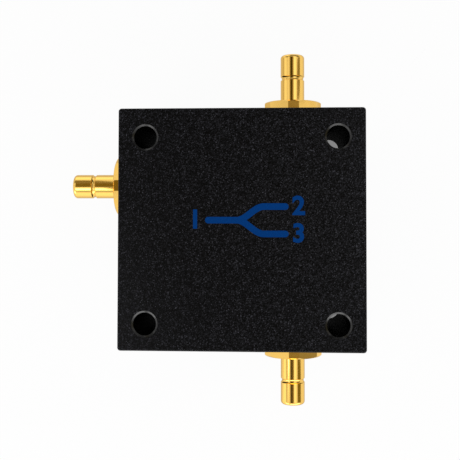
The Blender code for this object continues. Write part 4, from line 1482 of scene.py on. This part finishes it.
def floor_material():
    """White glow over a little diffuse white, and nothing at all from below."""
    material, tree, shader, place = start_material(
        "white_paper_sweep", {"Base Color": linear("F4F4F4"), "Roughness": 0.9})
    share = add_node(tree, "ShaderNodeMath", {"operation": "MULTIPLY", 1: 1 - SHADOW_SHARE},
                     {0: seen_or_mirrored(tree)})
    room = add_node(tree, "ShaderNodeAmbientOcclusion",
                    {"Distance": POCKET_MM * MM, "samples": 8}, {})
    glow_strength = add_node(tree, "ShaderNodeMapRange",
                             {"From Min": 0.0, "From Max": OPEN_SKY,
                              "To Min": POCKET_GLOW, "To Max": 1.0},
                             {"Value": room.outputs["AO"]})
    glow = add_node(tree, "ShaderNodeEmission", {"Color": (1, 1, 1, 1)},
                    {"Strength": glow_strength.outputs["Result"]})
    mixed = add_node(tree, "ShaderNodeMixShader", {},
                     {0: share.outputs[0], 1: shader.outputs[0], 2: glow.outputs[0]})
    side = add_node(tree, "ShaderNodeNewGeometry", {}, {})
    nothing = add_node(tree, "ShaderNodeBsdfTransparent", {}, {})
    one_sided = add_node(tree, "ShaderNodeMixShader", {},
                         {0: side.outputs["Backfacing"], 1: mixed.outputs[0],
                          2: nothing.outputs[0]})
    tree.links.new(one_sided.outputs[0], tree.nodes["Material Output"].inputs["Surface"])
    return material


def lay_floor():
    """A sheet of white paper, far larger than the view, a hair under the cover."""
    bm = bmesh.new()
    corners = [(-FLOOR_HALF, -FLOOR_HALF), (FLOOR_HALF, -FLOOR_HALF),
               (FLOOR_HALF, FLOOR_HALF), (-FLOOR_HALF, FLOOR_HALF)]
    bm.faces.new([bm.verts.new((x, y, -FLOOR_DROP)) for x, y in corners])
    floor = make_object("floor", bm)
    floor.data.materials.append(floor_material())
    return floor


def set_world():
    """White for the eye and for mirrors, and a soft grey fill for everything else."""
    world = bpy.data.worlds.new("white_room")
    bpy.context.scene.world = world
    world.use_nodes = True
    tree = world.node_tree
    level = add_node(tree, "ShaderNodeMapRange", {"To Min": WORLD_FILL, "To Max": 1.0},
                     {"Value": seen_or_mirrored(tree)})
    tree.links.new(level.outputs["Result"], tree.nodes["Background"].inputs["Strength"])
    tree.nodes["Background"].inputs["Color"].default_value = (1, 1, 1, 1)


lay_floor()
set_world()
print("floor and world ready")

# %% [markdown]
# Soft boxes and cards
#
# Polished metal shows nothing but its surroundings. In a white room gold would look like flat
# yellow plastic, so photographers hang dark cards round it, and the dark bands down each barrel are
# the mirror image of those cards. Here they are warm browns and greys. Lit white panels between
# them give the bright bands, and two real soft boxes stand in front. The cards and panels only show
# in reflections, so that they neither hide the view nor rob the floor of light.

# %% Soft boxes and cards
def face_towards(place, direction):
    """A transform at a place, in millimetres, whose -Z looks along a direction."""
    turn = Vector(direction).to_track_quat("-Z", "Y")
    return Matrix.Translation(Vector(place) * MM) @ turn.to_matrix().to_4x4()


def soft_box(name, place, direction, width, height, brightness):
    """A lamp of even brightness, where 1 is as bright as white paper. Sizes are in mm."""
    lamp = bpy.data.lights.new(name, "AREA")
    lamp.shape = "RECTANGLE"
    lamp.size = width * MM
    lamp.size_y = height * MM
    lamp.energy = brightness * pi * lamp.size * lamp.size_y
    box = bpy.data.objects.new(name, lamp)
    box.matrix_world = face_towards(place, direction)
    box.visible_camera = False
    bpy.context.collection.objects.link(box)
    return box


def card(name, place, direction, width, height, colour, strength=1.0):
    """A flat card that only mirrors can see, with sizes in mm. Over 1 it is a lit panel."""
    bm = bmesh.new()
    x = width / 2 * MM
    y = height / 2 * MM
    bm.faces.new([bm.verts.new(corner) for corner in
                  ((-x, -y, 0), (x, -y, 0), (x, y, 0), (-x, y, 0))])
    made = make_object(name, bm, face_towards(place, direction))
    material = bpy.data.materials.new(name + "_paper")
    material.use_nodes = True
    tree = material.node_tree
    tree.nodes.remove(tree.nodes["Principled BSDF"])
    even = add_node(tree, "ShaderNodeEmission",
                    {"Color": linear(colour), "Strength": strength}, {})
    tree.links.new(even.outputs[0], tree.nodes["Material Output"].inputs["Surface"])
    made.data.materials.append(material)
    made.visible_camera = False
    made.visible_diffuse = False
    made.visible_shadow = False
    made.visible_transmission = False
    return made


def level_card(name, x_span, y_span, z, colour, strength=1.0):
    """A level card between two x and two y, hung over the object or laid on the floor."""
    place = (sum(x_span) / 2, sum(y_span) / 2, z)
    return card(name, place, (0, 0, -1), x_span[1] - x_span[0], y_span[1] - y_span[0],
                colour, strength)


print("card helpers ready")

# %% Cards overhead, for the dark band along the top of each barrel
OVERHEAD = 250
BACK = (0, 150)
FRONT = (-150, 0)
DEEP_BROWN = "42371C"
DARK_BROWN = "746938"
MID_BROWN = "958864"
WARM_GREY = "A29C8C"
LIGHT_GREY = "C4BDB0"
PALE_GREY = "E1DCD0"
WHITE = "FFFFFF"
OLIVE_BROWN = "80703A"
UNDER_OVERHEAD = OVERHEAD - 2
level_card("overhead_core", (-65, -5), (-150, 150), OVERHEAD, DEEP_BROWN)
level_card("overhead_right_back", (-5, 28), BACK, OVERHEAD, MID_BROWN)
level_card("overhead_right_back_rim", (28, 48), BACK, OVERHEAD, LIGHT_GREY)
level_card("overhead_right_front", (-5, 46), FRONT, OVERHEAD, MID_BROWN)
level_card("overhead_left_back", (-99, -65), BACK, OVERHEAD, DARK_BROWN)
level_card("overhead_left_back_rim", (-126, -99), BACK, OVERHEAD, LIGHT_GREY)
level_card("overhead_left_front", (-110, -65), FRONT, OVERHEAD, WARM_GREY)
level_card("overhead_left_front_rim", (-142, -110), FRONT, OVERHEAD, PALE_GREY)
level_card("overhead_left_jack", (-95, -58), (4, 150), UNDER_OVERHEAD, OLIVE_BROWN)
level_card("right_panel", (42, 96), (-67, 63), 150, WHITE, 1.4)
level_card("left_panel", (-53, -35), (-44, -3), 75, WHITE, 1.45)
level_card("left_panel_core", (-53, -36), (-37, -15), 72, WHITE, 4.3)
level_card("left_dark_line", (-53, -32), (-87, -65), 75, "B8B8B8")

# %% Cards round the object, for the bands down its barrels and round the bores
FROM_RIGHT = (-1, 0, 0)
FROM_LEFT = (1, 0, 0)
FROM_BEHIND = (0, -1, 0)
FROM_FRONT = (0, 1, 0)
card("right_top_jack", (150, 54, 98), FROM_RIGHT, 20, 104, MID_BROWN)
card("right_bores", (150, -5, 93), FROM_RIGHT, 70, 114, "908250")
card("right_bottom_flange", (150, -43.5, 93), FROM_RIGHT, 8, 114, WARM_GREY)
card("right_bottom_jack", (150, -62, 91), FROM_RIGHT, 29, 118, "80743C")
card("back_right_corner", (112, 118, 92), (-1, -1, 0), 90, 110, "5A5A5A")
card("behind_bores", (20, 152, 92), FROM_BEHIND, 117, 110, "6C6C6C")
card("behind_left_jack", (-97, 150, 169), FROM_BEHIND, 74, 162, "90856A")
card("behind_left_jack_glow", (-80, 174, 31), FROM_BEHIND, 60, 62, WHITE, 1.45)
card("back_left_corner", (-128, 100, 92), (1, -0.8, 0), 75, 110, "A0A0A0")
card("left_bores", (-160, 28, 84), FROM_LEFT, 26, 50, "B4B4B4")
card("left_top_jack_line", (-160, 56, 128), FROM_LEFT, 40, 24, "E6E6E6")
card("left_top_jack_glow", (-162, 56, 82), FROM_LEFT, 44, 44, WHITE, 1.25)
card("left_bottom_jack_line", (-160, -62, 95), FROM_LEFT, 50, 36, "D8D8D8")
card("left_bottom_jack_glow", (-162, -62, 38), FROM_LEFT, 50, 76, WHITE, 1.4)
card("front_left_jack_glow", (-84, -232, 66), FROM_FRONT, 56, 130, WHITE, 1.4)

# %% Cards on the floor, for the darker outline of each barrel
CARD_RISE = 0.5
level_card("floor_top_jack", (-50, 30), (17.5, 44), CARD_RISE, "E0DCD4")
level_card("floor_top_jack_far", (-300, -50), (25, 85), CARD_RISE, LIGHT_GREY)
level_card("floor_bottom_jack", (-10, 22), (-44, -17.5), CARD_RISE, "DAD6CE")
level_card("floor_left_jack", (-46, -18), (-7.5, 20.5), CARD_RISE, "DEDAD2")
level_card("floor_left_jack_front", (-75, -25), (-230, -34), CARD_RISE, WHITE, 1.35)
level_card("floor_left_jack_back", (-75, -25), (46, 170), CARD_RISE, WHITE, 1.35)

# %% Two long soft boxes in front
soft_box("front_box", (150, -230, 110), FROM_FRONT, 410, 120, 3.0)
soft_box("front_left_box", (-245, -230, 110), FROM_FRONT, 260, 120, 3.0)

# %% [markdown]
# Colour view
#
# The render keeps colours as they are written, under Blender's standard view transform.

# %% Standard view transform
scene = bpy.context.scene
scene.view_settings.view_transform = "Standard"
